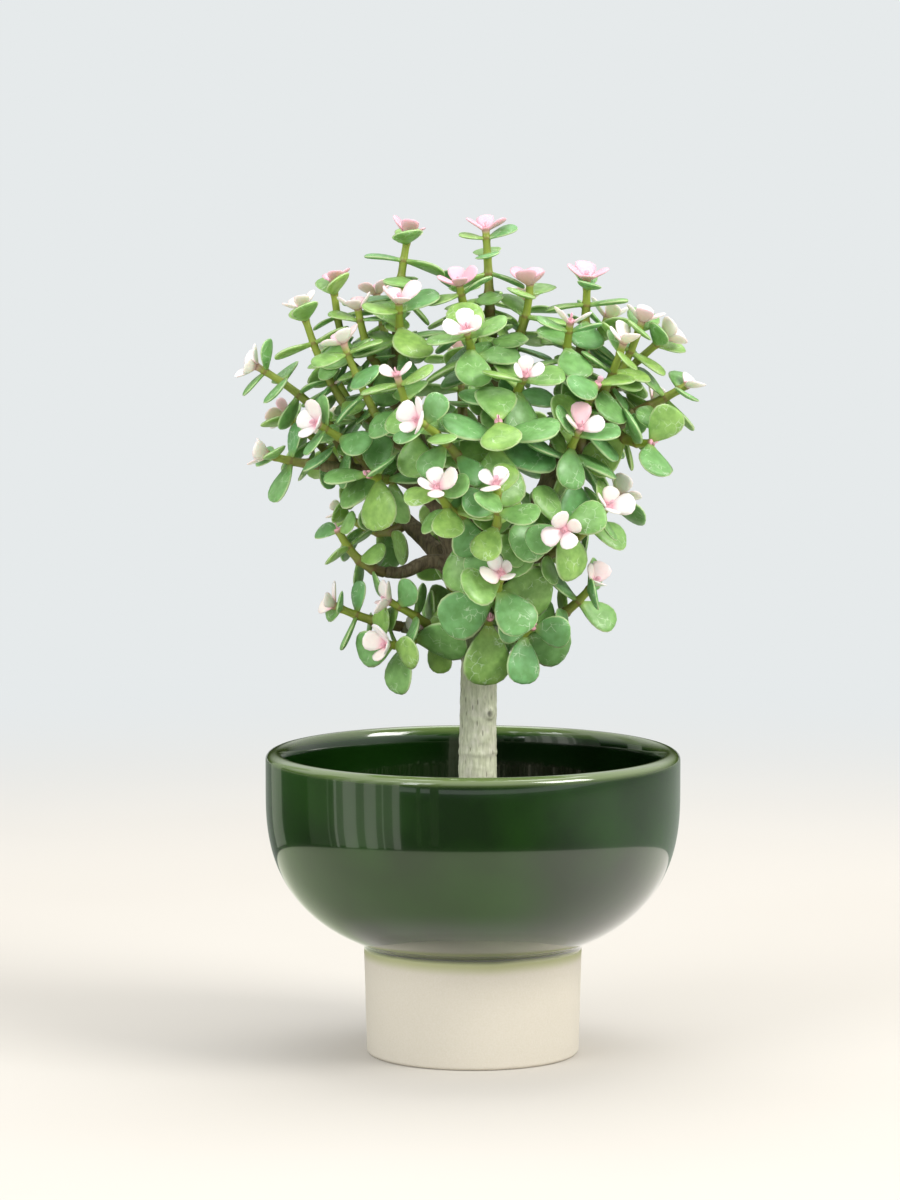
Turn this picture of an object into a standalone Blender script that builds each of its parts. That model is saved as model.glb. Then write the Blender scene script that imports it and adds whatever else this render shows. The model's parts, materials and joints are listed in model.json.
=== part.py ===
"""Potted jade plant: a small-leaved, variegated jade grown as a miniature tree, in a footed stoneware bowl.

Run it with: blender --background --python part.py

The frame is in metres with +Z up. The origin is the centre of the foot's flat underside, and -Y is the front.
The model is 3 fixed pieces (the bowl, the potting mix, and the trunk with its limbs) and one leafy shoot for
each row of SHOOTS. Each shoot is a four-sided green twig whose faces are drawn out into leaves, in opposite
pairs that turn a quarter from one pair to the next, under a whorl of small pale leaves at its tip.
"""

import math
import random
from collections import namedtuple
from itertools import pairwise, product

import bmesh
import bpy
from mathutils import Matrix, Vector
from mathutils.bvhtree import BVHTree

MM = 0.001

# Bowl
BOWL_RADIUS = 85.0 * MM
RIM_HEIGHT = 125.0 * MM
BOWL_CURVE = 68.0 * MM  # upright half-axis of the curve that the bowl's lower side follows
BOWL_FULLNESS = 2.5  # power of that curve: 2 is an ellipse, and more is fuller
FOOT_HEIGHT = 46.0 * MM
FOOT_TOP_RADIUS = 45.0 * MM
FOOT_BASE_RADIUS = 43.6 * MM
FOOT_EDGE = 1.6 * MM  # chamfer round the underside
WALL = 7.5 * MM
FLOOR = 9.0 * MM
LIP_HEIGHT = 3.2 * MM  # how far the rounded lip rises above the straight wall
TURNED_SIDES = 36
ARC_STEPS = 8
LIP_STEPS = 4

# Potting mix
SOIL_DEPTH = 34.0 * MM  # from the rim down to the mix at the wall
SOIL_CROWN = 3.0 * MM  # how much higher the mix is at the trunk
SEAT_GAP = 0.5 * MM  # between the mix and the bowl or the trunk

# Trunk and limbs
TRUNK_RADIUS = 7.7 * MM
TRUNK_FORK = 184.0 * MM
TRUNK_BURIED = 28.0 * MM
ROOT_FLARE = 1.15
TRUNK_SIDES = 10
LIMB_SIDES = 6
JOINT_GAP = 0.35 * MM  # between a limb and the shoot that it carries

# Shoots and leaves
TWIG_BASE_RADIUS = 2.0 * MM
TWIG_TIP_RADIUS = 1.25 * MM
TWIG_RISE = 0.16  # how much a twig curves upwards, as a share of its length
NODE_HEIGHT = 1.9 * MM  # stretch of twig that one pair of leaves grows from
BUD_HEIGHT = 1.6 * MM
TUFT_DEPTH = 0.6 * MM  # from a shoot's end down to the whorl's upper edge
PAIR_DEPTHS = (3.8 * MM, 10.5 * MM, 17.5 * MM, 25.0 * MM, 33.0 * MM)  # the same for each pair, from the top down
PAIR_SIZES = (0.9, 1.05, 1.08, 1.0, 0.9)
PAIR_LIFTS = (20.0, 2.0, -16.0, -28.0, -35.0)  # degrees above square to the twig
TUFT_SIZE = 8.2 * MM
TUFT_LIFT = 38.0
SMALL_LEAF = 9.0 * MM  # a leaf shorter than this is one of a whorl
LEAF_ASPECT = 0.8  # width to length
LEAF_THICKNESS = 0.105  # thickness to length
WIDEST_AT = 0.62  # share of the length
TIP_WIDTH = 0.5  # of the greatest width
TIP_THICKNESS = 0.6
LEAF_ROOM = 0.45 * MM  # kept clear on both faces of a leaf
CROWN_CENTRE = Vector((0, 0, 225)) * MM  # the leaves turn their upper faces away from here and upwards
ROLL_MOST = 50.0  # degrees that a leaf may turn about its length for that
ROOM_START = 1.6 * MM  # how far from the twig a leaf's own room starts

# Each limb's centreline and radius, in millimetres: (x, y, z, radius). A limb starts inside what it grows from.
LIMBS = {
    "left": [(2, 0, 180, 6.4), (-3, -1, 198, 5.8), (-9, -2, 214, 5.2), (-15, -2, 230, 4.6), (-21, -1, 247, 4.0),
             (-27, 0, 264, 3.4), (-30, 0, 280, 2.9), (-31, 0, 293, 2.5)],
    "far_left": [(-12, -2, 224, 4.2), (-24, -5, 235, 3.4), (-36, -6, 240, 3.0), (-50, -7, 241, 2.7),
                 (-62, -8, 243, 2.4)],
    "centre": [(4, 1, 178, 6.6), (6, 2, 200, 6.0), (6, 2, 222, 5.2), (5, 1, 244, 4.6), (6, 0, 264, 4.0),
               (7, 0, 282, 3.3), (7, -1, 298, 2.7)],
    "right": [(4, 0, 180, 6.2), (14, -1, 200, 5.4), (24, -1, 218, 4.8), (34, -2, 234, 4.2), (44, -3, 248, 3.6),
              (56, -4, 257, 3.0), (66, -5, 264, 2.5)],
    "upper_right": [(25, -1, 220, 4.2), (31, 1, 237, 3.7), (35, 2, 254, 3.2), (39, 2, 272, 2.8), (43, 1, 286, 2.4)],
    "low_left": [(1, -2, 162, 3.6), (-8, -4, 169, 3.0), (-18, -7, 174, 2.6), (-29, -9, 177, 2.3)],
    "low_right": [(5, -1, 161, 3.4), (13, -4, 168, 2.8), (22, -7, 173, 2.5), (30, -9, 178, 2.3)],
    "mid_left": [(0, 0, 186, 4.2), (-9, -1, 200, 3.4), (-18, -2, 203, 2.9), (-28, -4, 199, 2.6),
                 (-36, -6, 199, 2.4)],
    "front": [(4, -2, 178, 5.0), (3, -14, 196, 4.4), (1, -26, 212, 3.8), (0, -37, 227, 3.1), (-2, -44, 242, 2.6)],
    "front_right": [(5, -1, 180, 4.4), (14, -15, 196, 3.6), (23, -26, 207, 3.0), (31, -35, 218, 2.6)],
    "back": [(3, 3, 176, 5.4), (1, 17, 198, 4.8), (-2, 29, 218, 4.1), (-4, 38, 238, 3.4), (-4, 43, 256, 2.7)],
    "back_left": [(1, 3, 184, 4.4), (-13, 15, 203, 3.8), (-28, 25, 218, 3.2), (-40, 32, 232, 2.6)],
    "back_right": [(6, 3, 182, 4.6), (18, 15, 202, 4.0), (31, 25, 218, 3.3), (42, 32, 234, 2.6)],
    "back_low": [(4, 2, 164, 3.4), (8, 14, 177, 2.8), (12, 25, 184, 2.4)],
}

# One leafy shoot: the limb that carries it and how far along (1 is the end), the tip in millimetres, how many
# pairs of leaves, their length in millimetres, the turn of the top pair in degrees, and the whorl's leaves.
Shoot = namedtuple("Shoot", "limb along tip pairs leaf turn whorl")
SHOOTS = [
    Shoot("left", 1.0, (-26, 0, 338), 5, 15, 0, 4),
    Shoot("centre", 1.0, (5, -2, 340), 5, 13, 0, 3),
    Shoot("left", 0.95, (-30, -27, 312), 4, 18, 20, 4),
    Shoot("left", 0.88, (-47, -10, 309), 4, 14, 40, 4),
    Shoot("left", 0.78, (-57, -2, 320), 4, 15, 10, 3),
    Shoot("left", 0.66, (-70, -6, 309), 5, 15, 0, 4),
    Shoot("left", 0.60, (-53, -28, 296), 4, 15, 60, 4),
    Shoot("left", 0.52, (-31, -50, 284), 4, 17, 0, 2),
    Shoot("centre", 0.97, (-6, -22, 319), 4, 15, 40, 4),
    Shoot("centre", 0.84, (-3, -44, 301), 5, 18, 15, 4),
    Shoot("centre", 0.91, (23, -10, 319), 4, 16, 10, 4),
    Shoot("centre", 0.72, (21, -47, 283), 4, 18, 0, 3),
    Shoot("centre", 0.50, (10, -60, 268), 4, 22, 90, 0),
    Shoot("upper_right", 1.0, (46, -6, 320), 5, 15, 20, 4),
    Shoot("upper_right", 0.85, (39, -32, 304), 4, 15, 10, 2),
    Shoot("upper_right", 0.72, (69, -10, 304), 5, 16, 20, 4),
    Shoot("upper_right", 0.55, (61, -26, 296), 4, 15, 70, 3),
    Shoot("far_left", 1.0, (-85, -10, 248), 5, 15, 10, 4),
    Shoot("far_left", 0.80, (-90, -4, 284), 5, 15, 15, 4),
    Shoot("far_left", 0.66, (-64, -30, 262), 4, 15, 50, 4),
    Shoot("far_left", 0.45, (-45, -38, 243), 4, 18, 10, 0),
    Shoot("mid_left", 1.0, (-57, -10, 222), 5, 12, 40, 0),
    Shoot("low_left", 1.0, (-58, -14, 187), 5, 13, 20, 3),
    Shoot("low_left", 0.62, (-36, -24, 190), 4, 16, 0, 4),
    Shoot("front", 1.0, (-23, -66, 266), 4, 14, 45, 4),
    Shoot("front", 0.80, (-15, -66, 240), 5, 15, 20, 4),
    Shoot("front", 0.62, (9, -68, 242), 5, 15, 60, 4),
    Shoot("front", 0.26, (11, -50, 204), 4, 21, 30, 4),
    Shoot("front_right", 1.0, (36, -58, 221), 5, 18, 10, 4),
    Shoot("front_right", 0.70, (55, -38, 230), 5, 16, 30, 4),
    Shoot("right", 0.62, (43, -46, 262), 4, 18, 0, 3),
    Shoot("right", 0.76, (52, -37, 282), 4, 18, 45, 0),
    Shoot("right", 1.0, (88, -6, 276), 5, 15, 20, 2),
    Shoot("right", 0.88, (80, -2, 296), 4, 16, 0, 3),
    Shoot("right", 0.90, (76, -24, 254), 4, 18, 45, 0),
    Shoot("low_right", 1.0, (50, -17, 197), 5, 16, 20, 3),
    Shoot("low_right", 0.60, (27, -31, 182), 4, 18, 0, 0),
    Shoot("low_left", 0.82, (-36, -30, 172), 3, 19, 0, 4),
    Shoot("front", 0.10, (7, -36, 186), 3, 25, 0, 0),
    Shoot("left", 0.86, (-40, 26, 313), 4, 16, 20, 4),
    Shoot("left", 0.62, (-62, 26, 288), 5, 16, 50, 3),
    Shoot("centre", 0.88, (-6, 26, 318), 4, 16, 50, 4),
    Shoot("centre", 0.78, (22, 30, 310), 4, 16, 0, 4),
    Shoot("upper_right", 0.90, (56, 26, 303), 4, 16, 40, 3),
    Shoot("far_left", 0.90, (-78, 18, 262), 5, 16, 20, 4),
    Shoot("right", 0.80, (76, 22, 268), 5, 16, 50, 4),
    Shoot("back", 1.0, (-6, 62, 286), 5, 17, 0, 4),
    Shoot("back", 0.80, (-26, 66, 264), 5, 16, 30, 4),
    Shoot("back", 0.72, (18, 70, 258), 5, 17, 10, 4),
    Shoot("back", 0.50, (-6, 66, 228), 5, 17, 60, 3),
    Shoot("back_left", 1.0, (-60, 50, 256), 5, 16, 20, 4),
    Shoot("back_left", 0.70, (-56, 38, 222), 5, 16, 50, 3),
    Shoot("back_right", 1.0, (56, 54, 262), 5, 16, 0, 4),
    Shoot("back_right", 0.75, (62, 40, 228), 5, 16, 40, 4),
    Shoot("back_right", 0.55, (34, 58, 220), 5, 16, 20, 3),
    Shoot("back_low", 1.0, (20, 50, 198), 5, 16, 30, 3),
    Shoot("back_low", 0.60, (-12, 42, 196), 5, 15, 0, 3),
]

# Node of a twig that carries leaves: the depth of its upper edge below the tip, how many leaves, their length,
# their lift in degrees, and whether it is turned a quarter from the top pair.
LeafNode = namedtuple("LeafNode", "depth leaves length lift quarter")

# One leaf: where it grows from, its lift and swing in degrees, its length, and its turn about that in degrees.
Leaf = namedtuple("Leaf", "root lift swing length roll")

COLOURS = {
    "glazed_stoneware": ((0.020, 0.075, 0.022, 1.0), 0.15),
    "potting_mix": ((0.030, 0.021, 0.015, 1.0), 0.95),
    "bark": ((0.270, 0.240, 0.180, 1.0), 0.80),
    "leaf": ((0.130, 0.300, 0.130, 1.0), 0.45),
}


def clear_scene():
    for obj in list(bpy.data.objects):
        bpy.data.objects.remove(obj, do_unlink=True)


def material(name):
    """A plain finish, made once for each name in COLOURS."""
    found = bpy.data.materials.get(name)
    if found:
        return found
    made = bpy.data.materials.new(name)
    made.use_nodes = True
    colour, roughness = COLOURS[name]
    shader = made.node_tree.nodes["Principled BSDF"]
    shader.inputs["Base Color"].default_value = colour
    shader.inputs["Roughness"].default_value = roughness
    shader.inputs["Metallic"].default_value = 0.0
    return made


def add_object(name, mesh, finish):
    obj = bpy.data.objects.new(name, mesh)
    bpy.context.scene.collection.objects.link(obj)
    mesh.materials.append(material(finish))
    return obj


def apply_modifiers(obj):
    """Turns what the modifiers give into the object's own mesh."""
    graph = bpy.context.evaluated_depsgraph_get()
    mesh = bpy.data.meshes.new_from_object(obj.evaluated_get(graph), depsgraph=graph)
    obj.modifiers.clear()
    obj.data = mesh


# Bowl and potting mix


def curve_centre():
    """Height of the centre of the bowl's curve, which meets the foot at FOOT_HEIGHT."""
    share = (FOOT_TOP_RADIUS / BOWL_RADIUS) ** BOWL_FULLNESS
    return FOOT_HEIGHT + BOWL_CURVE * (1 - share) ** (1 / BOWL_FULLNESS)


def bowl_arc(radius, depth, start_radius):
    """Points (r, z) up a full curve with these half-axes, from start_radius out to its widest."""
    power = 2 / BOWL_FULLNESS
    start = math.acos((start_radius / radius) ** (1 / power))
    angles = [start * (1 - step / ARC_STEPS) for step in range(ARC_STEPS + 1)]
    return [(radius * math.cos(a) ** power, curve_centre() - depth * math.sin(a) ** power) for a in angles]


def inner_wall():
    """The bowl's inside, from the edge of its floor up to where the wall is straight."""
    base = (FOOT_BASE_RADIUS - WALL, FLOOR)
    return [base, *bowl_arc(BOWL_RADIUS - WALL, BOWL_CURVE - WALL, FOOT_TOP_RADIUS - WALL)]


def outer_wall():
    """The bowl's outside, from the chamfer of the foot up to where the wall is straight."""
    foot = [(FOOT_BASE_RADIUS - FOOT_EDGE, 0.0), (FOOT_BASE_RADIUS, FOOT_EDGE)]
    return [*foot, *bowl_arc(BOWL_RADIUS, BOWL_CURVE, FOOT_TOP_RADIUS)]


def lip():
    """The rounded rim, from the inside over to the outside."""
    middle = BOWL_RADIUS - WALL / 2
    shoulder = RIM_HEIGHT - LIP_HEIGHT
    angles = [math.pi * (1 - step / LIP_STEPS) for step in range(LIP_STEPS + 1)]
    return [(middle + WALL / 2 * math.cos(a), shoulder + LIP_HEIGHT * math.sin(a)) for a in angles]


def turned(name, profile, finish):
    """A solid of revolution. The profile starts and ends on the axis, and runs down its outer side."""
    mesh = bpy.data.meshes.new(name)
    points = [(r, 0.0, z) for r, z in profile]
    mesh.from_pydata(points, [(i, i + 1) for i in range(len(points) - 1)], [])
    obj = add_object(name, mesh, finish)
    screw = obj.modifiers.new("Turn", "SCREW")
    screw.steps = screw.render_steps = TURNED_SIDES
    screw.use_merge_vertices = True
    screw.merge_threshold = 0.0001
    screw.use_smooth_shade = True
    return obj


def make_bowl():
    inside = [(0.0, FLOOR), *inner_wall()]
    outside = [*reversed(outer_wall()), (0.0, 0.0)]
    return turned("footed_bowl", [*inside, *lip(), *outside], "glazed_stoneware")


def soil_edge():
    """The side of the mix, from the floor up, kept SEAT_GAP off the wall and cut level at its top."""
    level = RIM_HEIGHT - SOIL_DEPTH
    wall = [(r - SEAT_GAP, z + SEAT_GAP) for r, z in inner_wall()]
    wall.append((BOWL_RADIUS - WALL - SEAT_GAP, RIM_HEIGHT))
    edge = [wall[0]]
    for (r0, z0), (r1, z1) in pairwise(wall):
        if z1 >= level:
            share = (level - z0) / (z1 - z0)
            edge.append((r0 + (r1 - r0) * share, level))
            return edge
        edge.append((r1, z1))
    return edge


def make_potting_mix(trunk_points):
    edge = soil_edge()
    rim_radius, level = edge[-1]
    crown = [(share * rim_radius, level + SOIL_CROWN * (1 - share**2)) for share in (0.0, 0.3, 0.65)]
    mix = turned("potting_mix", [*crown, *reversed(edge), (0.0, FLOOR + SEAT_GAP)], "potting_mix")
    socket = tapered_tube("trunk_socket", socket_points(trunk_points), TRUNK_SIDES, "potting_mix")
    socket.hide_render = True
    socket.display_type = "WIRE"
    cut = mix.modifiers.new("Trunk socket", "BOOLEAN")
    cut.operation = "DIFFERENCE"
    cut.object = socket
    return mix


def socket_points(trunk_points):
    """The trunk's lower stretch, SEAT_GAP larger all round."""
    wider = [(point, radius + SEAT_GAP) for point, radius in trunk_points[:3]]
    bottom, radius = wider[0]
    return [(bottom - Vector((0, 0, SEAT_GAP)), radius), *wider[1:]]


# Trunk and limbs


def frames_along(points, start=None):
    """A matrix at each point of a path, with +Z along the path and no twist from one to the next.

    The first frame looks along start, if it is given.
    """
    frames = []
    for i, here in enumerate(points):
        forward = (points[min(i + 1, len(points) - 1)] - points[max(i - 1, 0)]).normalized()
        if start and not frames:
            forward = start
        if frames:
            basis = before.rotation_difference(forward).to_matrix() @ basis
        else:
            basis = forward.to_track_quat("Z", "Y").to_matrix()
        before = forward
        frames.append(Matrix.Translation(here) @ basis.to_4x4())
    return frames


def extrude_to(bm, face, move):
    """Extrudes a face, carries the new one by the matrix, and returns it."""
    new = bmesh.ops.extrude_discrete_faces(bm, faces=[face])["faces"][0]
    bmesh.ops.transform(bm, matrix=move, verts=new.verts)
    return new


def sweep(bm, frames, radii, sides, roll):
    """Draws a polygon out along the frames, as one closed tube. Returns the last face."""
    turn = Matrix.Rotation(roll, 4, "Z")
    bmesh.ops.create_circle(bm, cap_ends=True, segments=sides, radius=radii[0], matrix=frames[0] @ turn)
    first = bm.faces[:][0]
    extruded = bmesh.ops.extrude_face_region(bm, geom=[first])["geom"]
    face = next(item for item in extruded if isinstance(item, bmesh.types.BMFace))
    steps = list(pairwise(zip(frames, radii)))
    for number, ((frame, radius), (next_frame, next_radius)) in enumerate(steps):
        move = next_frame @ Matrix.Scale(next_radius / radius, 4) @ frame.inverted()
        if number == 0:
            bmesh.ops.transform(bm, matrix=move, verts=face.verts)
        else:
            face = extrude_to(bm, face, move)
    return face


def finished_mesh(name, bm):
    bmesh.ops.recalc_face_normals(bm, faces=bm.faces[:])
    mesh = bpy.data.meshes.new(name)
    bm.to_mesh(mesh)
    bm.free()
    return mesh


def tapered_tube(name, points, sides, finish):
    """A closed tube through (point, radius) pairs."""
    bm = bmesh.new()
    frames = frames_along([point for point, _ in points])
    sweep(bm, frames, [radius for _, radius in points], sides, 0.0)
    mesh = finished_mesh(name, bm)
    mesh.shade_smooth()
    return add_object(name, mesh, finish)


def trunk_path():
    """The trunk's centreline from its buried end up to the fork, as (point, radius) pairs."""
    level = RIM_HEIGHT - SOIL_DEPTH
    rise = TRUNK_FORK - level
    stations = [
        (-TRUNK_BURIED, 2.0 * MM, ROOT_FLARE),
        (0.0, 2.0 * MM, 1.06),
        (0.38 * rise, 2.0 * MM, 1.0),
        (0.72 * rise, 2.5 * MM, 0.97),
        (rise, 3.5 * MM, 0.94),
    ]
    return [(Vector((x, 0.0, level + up)), TRUNK_RADIUS * share) for up, x, share in stations]


def limb_path(name):
    return [(Vector((x, y, z)) * MM, radius * MM) for x, y, z, radius in LIMBS[name]]


def make_tree(trunk_points):
    """The trunk and every limb as one solid: each limb is a tube that a Boolean joins to the trunk."""
    tree = tapered_tube("trunk_and_limbs", trunk_points, TRUNK_SIDES, "bark")
    for limb in LIMBS:
        branch = tapered_tube(limb, limb_path(limb), LIMB_SIDES, "bark")
        join = tree.modifiers.new(limb, "BOOLEAN")
        join.operation = "UNION"
        join.object = branch
        apply_modifiers(tree)
        bpy.data.objects.remove(branch, do_unlink=True)
    return tree


def limb_at(name, along):
    """Point, direction and radius at a share of a limb's length."""
    path = limb_path(name)
    lengths = [(b[0] - a[0]).length for a, b in pairwise(path)]
    left = along * sum(lengths)
    for (a, b), length in zip(pairwise(path), lengths):
        if left <= length * 1.0001:
            share = left / length
            point = a[0].lerp(b[0], share)
            return point, (b[0] - a[0]).normalized(), a[1] + (b[1] - a[1]) * share
        left -= length


# Shoots


def twig_curve(shoot):
    """A function from 0..1 to a point of the twig, the direction it starts in, and its length."""
    tip = Vector(shoot.tip) * MM
    on_limb, along, radius = limb_at(shoot.limb, shoot.along)
    if shoot.along == 1.0:
        outward = along
        start = on_limb + outward * JOINT_GAP
    else:
        reach = tip - on_limb
        outward = (reach - along * reach.dot(along)).normalized()
        start = on_limb + outward * (radius + JOINT_GAP)
    length = (tip - start).length
    middle = start.lerp(tip, 0.5) - Vector((0, 0, TWIG_RISE * length))
    control = middle.lerp(start + outward * length * 0.5, 0.6)

    def point(t):
        return start.lerp(control, t).lerp(control.lerp(tip, t), t)

    return point, outward, length


def leaf_nodes(shoot, length):
    """The nodes of a twig that carry leaves, from the tip down, as far as the twig has room for them."""
    nodes = []
    if shoot.whorl:
        nodes.append(LeafNode(TUFT_DEPTH, shoot.whorl, TUFT_SIZE, TUFT_LIFT, False))
    for number in range(shoot.pairs):
        depth = PAIR_DEPTHS[number]
        if depth + 2 * NODE_HEIGHT > length:
            break
        size = shoot.leaf * MM * PAIR_SIZES[number]
        nodes.append(LeafNode(depth, 2, size, PAIR_LIFTS[number], number % 2 == 1))
    return nodes


def twig_rings(shoot):
    """The twig's frames and radii from its base to its tip, and its leaf nodes with their lower ring's number."""
    point, outward, length = twig_curve(shoot)
    nodes = leaf_nodes(shoot, length)
    depths = [length, *(d for node in reversed(nodes) for d in (node.depth + NODE_HEIGHT, node.depth))]
    points = [point(1 - depth / length) for depth in depths]
    taper = [TWIG_TIP_RADIUS + (TWIG_BASE_RADIUS - TWIG_TIP_RADIUS) * depth / length for depth in depths]
    turn = Matrix.Rotation(math.radians(shoot.turn), 4, "Z")
    frames = [frame @ turn for frame in frames_along(points, outward)]
    count = len(nodes)
    return frames, taper, [(node, 1 + 2 * (count - 1 - number)) for number, node in enumerate(nodes)]


def leaf_roots(frames, radii, ring, node):
    """Where each leaf of a node starts: the middle of a side face, with X across, Y up the twig and Z outwards."""
    lower, upper = frames[ring], frames[ring + 1]
    middle = (lower.translation + upper.translation) / 2
    basis = lower.to_3x3().to_4x4()
    face_distance = (radii[ring] + radii[ring + 1]) / 2 * math.cos(math.pi / 4)
    spread = 360 / (4 if node.leaves > 2 else 2)
    first = 90 if node.quarter else 0
    for number in range(node.leaves):
        around = Matrix.Rotation(math.radians(first + spread * number), 4, "Z")
        outwards = Matrix.Rotation(math.radians(90), 4, "Y") @ Matrix.Rotation(math.radians(90), 4, "Z")
        yield Matrix.Translation(middle) @ basis @ around @ Matrix.Translation((face_distance, 0, 0)) @ outwards


def leaf_frame(leaf, share):
    """The frame of a leaf's cross-section at a share of its length: X across, Y out of its upper face."""
    frame = leaf.root @ Matrix.Rotation(math.radians(leaf.swing), 4, "Y")
    frame = frame @ Matrix.Rotation(math.radians(-leaf.lift), 4, "X")
    roll = leaf.roll * min(1, share / WIDEST_AT)
    return frame @ Matrix.Translation((0, 0, share * leaf.length)) @ Matrix.Rotation(math.radians(roll), 4, "Z")


def towards_light(leaf):
    """The leaf, turned about its length so that its upper face looks outwards and upwards."""
    frame = leaf_frame(leaf, 0)
    along, face = frame.col[2].to_3d(), frame.col[1].to_3d()
    light = (frame.translation - CROWN_CENTRE).normalized() + Vector((0, 0, 0.7))
    angle = math.degrees(math.atan2(along.dot(face.cross(light)), face.dot(light)))
    return leaf._replace(roll=max(-ROLL_MOST, min(ROLL_MOST, angle)))


def leaf_room(leaf):
    """The space that a leaf needs, as a closed hull for the clearance test."""
    length = leaf.length
    width, thick = length * LEAF_ASPECT / 2, length * LEAF_THICKNESS / 2 + LEAF_ROOM
    outline = [(ROOM_START / length, 0.28), (0.45, 0.9), (0.8, 0.95), (1.0, 0.55)]
    points = []
    for share, across in outline:
        frame = leaf_frame(leaf, share)
        half = across * width
        points += [frame @ Vector((x, y, 0)) for x, y in
                   ((half, thick), (-half, thick), (-half, -thick), (half, -thick))]
    faces = [(0, 1, 2, 3), tuple(range(len(points) - 4, len(points)))]
    for start in range(0, len(points) - 4, 4):
        faces += [(start + i, start + (i + 1) % 4, start + 4 + (i + 1) % 4, start + 4 + i) for i in range(4)]
    return points, faces


class Occupied:
    """The space already taken, for finding where a new leaf has room."""

    def __init__(self):
        self.items = []

    def add(self, points, faces):
        self.items.append(self.item(points, faces))

    def item(self, points, faces):
        middle = sum(points, Vector()) / len(points)
        reach = max((point - middle).length for point in points)
        return middle, reach, BVHTree.FromPolygons(points, faces)

    def free(self, points, faces):
        middle, reach, tree = self.item(points, faces)
        return not any(
            (middle - other).length < reach + far and tree.overlap(taken)
            for other, far, taken in self.items
        )

    def add_tube(self, points, radii, sides=6):
        """A limb or a twig, one stretch at a time, so that the tests stay local."""
        frames = frames_along(points)
        rings = [
            [frame @ Vector((radius * math.cos(a), radius * math.sin(a), 0))
             for a in (2 * math.pi * k / sides for k in range(sides))]
            for frame, radius in zip(frames, radii)
        ]
        for low, high in pairwise(rings):
            walls = [(i, (i + 1) % sides, sides + (i + 1) % sides, sides + i) for i in range(sides)]
            self.add(low + high, [tuple(range(sides)), tuple(range(sides, 2 * sides)), *walls])


# A leaf that has no room where it would grow tries these in turn: (size, swing and lift in degrees).
LEAF_TRIES = sorted(
    product((1.0, 0.86, 0.72, 0.58), (0, 12, -12, 25, -25, 38, -38), (0, 10, -10, 22, -22, 35)),
    key=lambda way: (1 - way[0]) * 120 + abs(way[1]) + abs(way[2]),
)


def place_leaves(trunk_points):
    """Every shoot's rings, and its leaves, each clear of all that came before it."""
    occupied = Occupied()
    for path in [trunk_points, *map(limb_path, LIMBS)]:
        occupied.add_tube([point for point, _ in path], [radius + JOINT_GAP for _, radius in path])
    rings = [twig_rings(shoot) for shoot in SHOOTS]
    for frames, radii, _ in rings:
        bud = frames[-1] @ Vector((0, 0, BUD_HEIGHT))
        middles = [*(frame.translation for frame in frames), bud]
        occupied.add_tube(middles, [radius + JOINT_GAP for radius in (*radii, radii[-1] / 2)])
    placed = []
    for number, (frames, radii, nodes) in enumerate(rings):
        dice = random.Random(number)
        leaves = []
        for node, ring in nodes:
            for root in leaf_roots(frames, radii, ring, node):
                natural = node.lift + dice.uniform(-14, 14)
                length = node.length * dice.uniform(0.88, 1.08)
                for size, swing, lift in LEAF_TRIES:
                    leaf = Leaf(root, natural + lift, swing, length * size, 0.0)
                    if node.leaves == 2:
                        leaf = towards_light(leaf)
                    room = leaf_room(leaf)
                    if occupied.free(*room):
                        occupied.add(*room)
                        leaves.append(leaf)
                        break
        placed.append(leaves)
    return rings, placed


def draw_leaf(bm, twig_side, leaf):
    """Draws a leaf out of one side face of the twig: to its widest and then its blunt tip.

    The small leaves of a whorl are widest near the end, so one step draws them.
    """
    corners = [leaf.root.inverted() @ corner.co for corner in twig_side.verts]
    across, up = (2 * max(abs(corner[axis]) for corner in corners) for axis in (0, 1))
    width, thick = leaf.length * LEAF_ASPECT, leaf.length * LEAF_THICKNESS
    small = leaf.length < SMALL_LEAF
    widest = leaf_frame(leaf, 1 if small else WIDEST_AT)
    narrow_to = Matrix.Diagonal((width / across, thick / up, 1, 1))
    face = extrude_to(bm, twig_side, widest @ narrow_to @ leaf.root.inverted())
    if not small:
        tip = leaf_frame(leaf, 1)
        extrude_to(bm, face, tip @ Matrix.Diagonal((TIP_WIDTH, TIP_THICKNESS, 1, 1)) @ widest.inverted())


def make_shoot(name, rings, leaves):
    """One closed solid: a square twig with a bud at its end, and leaves drawn out of its side faces."""
    frames, radii, _ = rings
    bm = bmesh.new()
    end = sweep(bm, frames, radii, 4, math.pi / 4)
    bud = frames[-1] @ Matrix.Translation((0, 0, BUD_HEIGHT)) @ Matrix.Scale(0.4, 4) @ frames[-1].inverted()
    extrude_to(bm, end, bud)
    for leaf in leaves:
        side = min(bm.faces, key=lambda face: (face.calc_center_median() - leaf.root.translation).length)
        draw_leaf(bm, side, leaf)
    return add_object(name, finished_mesh(name, bm), "leaf")


def shoot_names():
    """A name for each shoot: its limb, and its number on that limb."""
    seen = {}
    for shoot in SHOOTS:
        seen[shoot.limb] = seen.get(shoot.limb, 0) + 1
        yield f"{shoot.limb}_shoot_{seen[shoot.limb]}"


def main():
    clear_scene()
    trunk_points = trunk_path()
    make_bowl()
    make_potting_mix(trunk_points)
    make_tree(trunk_points)
    rings, placed = place_leaves(trunk_points)
    for name, shoot_rings, leaves in zip(shoot_names(), rings, placed):
        make_shoot(name, shoot_rings, leaves)


main()
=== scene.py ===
"""Potted jade plant: the looks of the bowl, the potting mix, the woody tree and its leafy shoots.

Every length is in millimetres until MM turns it into metres, and every piece is made where the frame has it.
The shoots grow by the same rules as the frame's, so each leaf lies where the frame holds its plain solid.
"""

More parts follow.
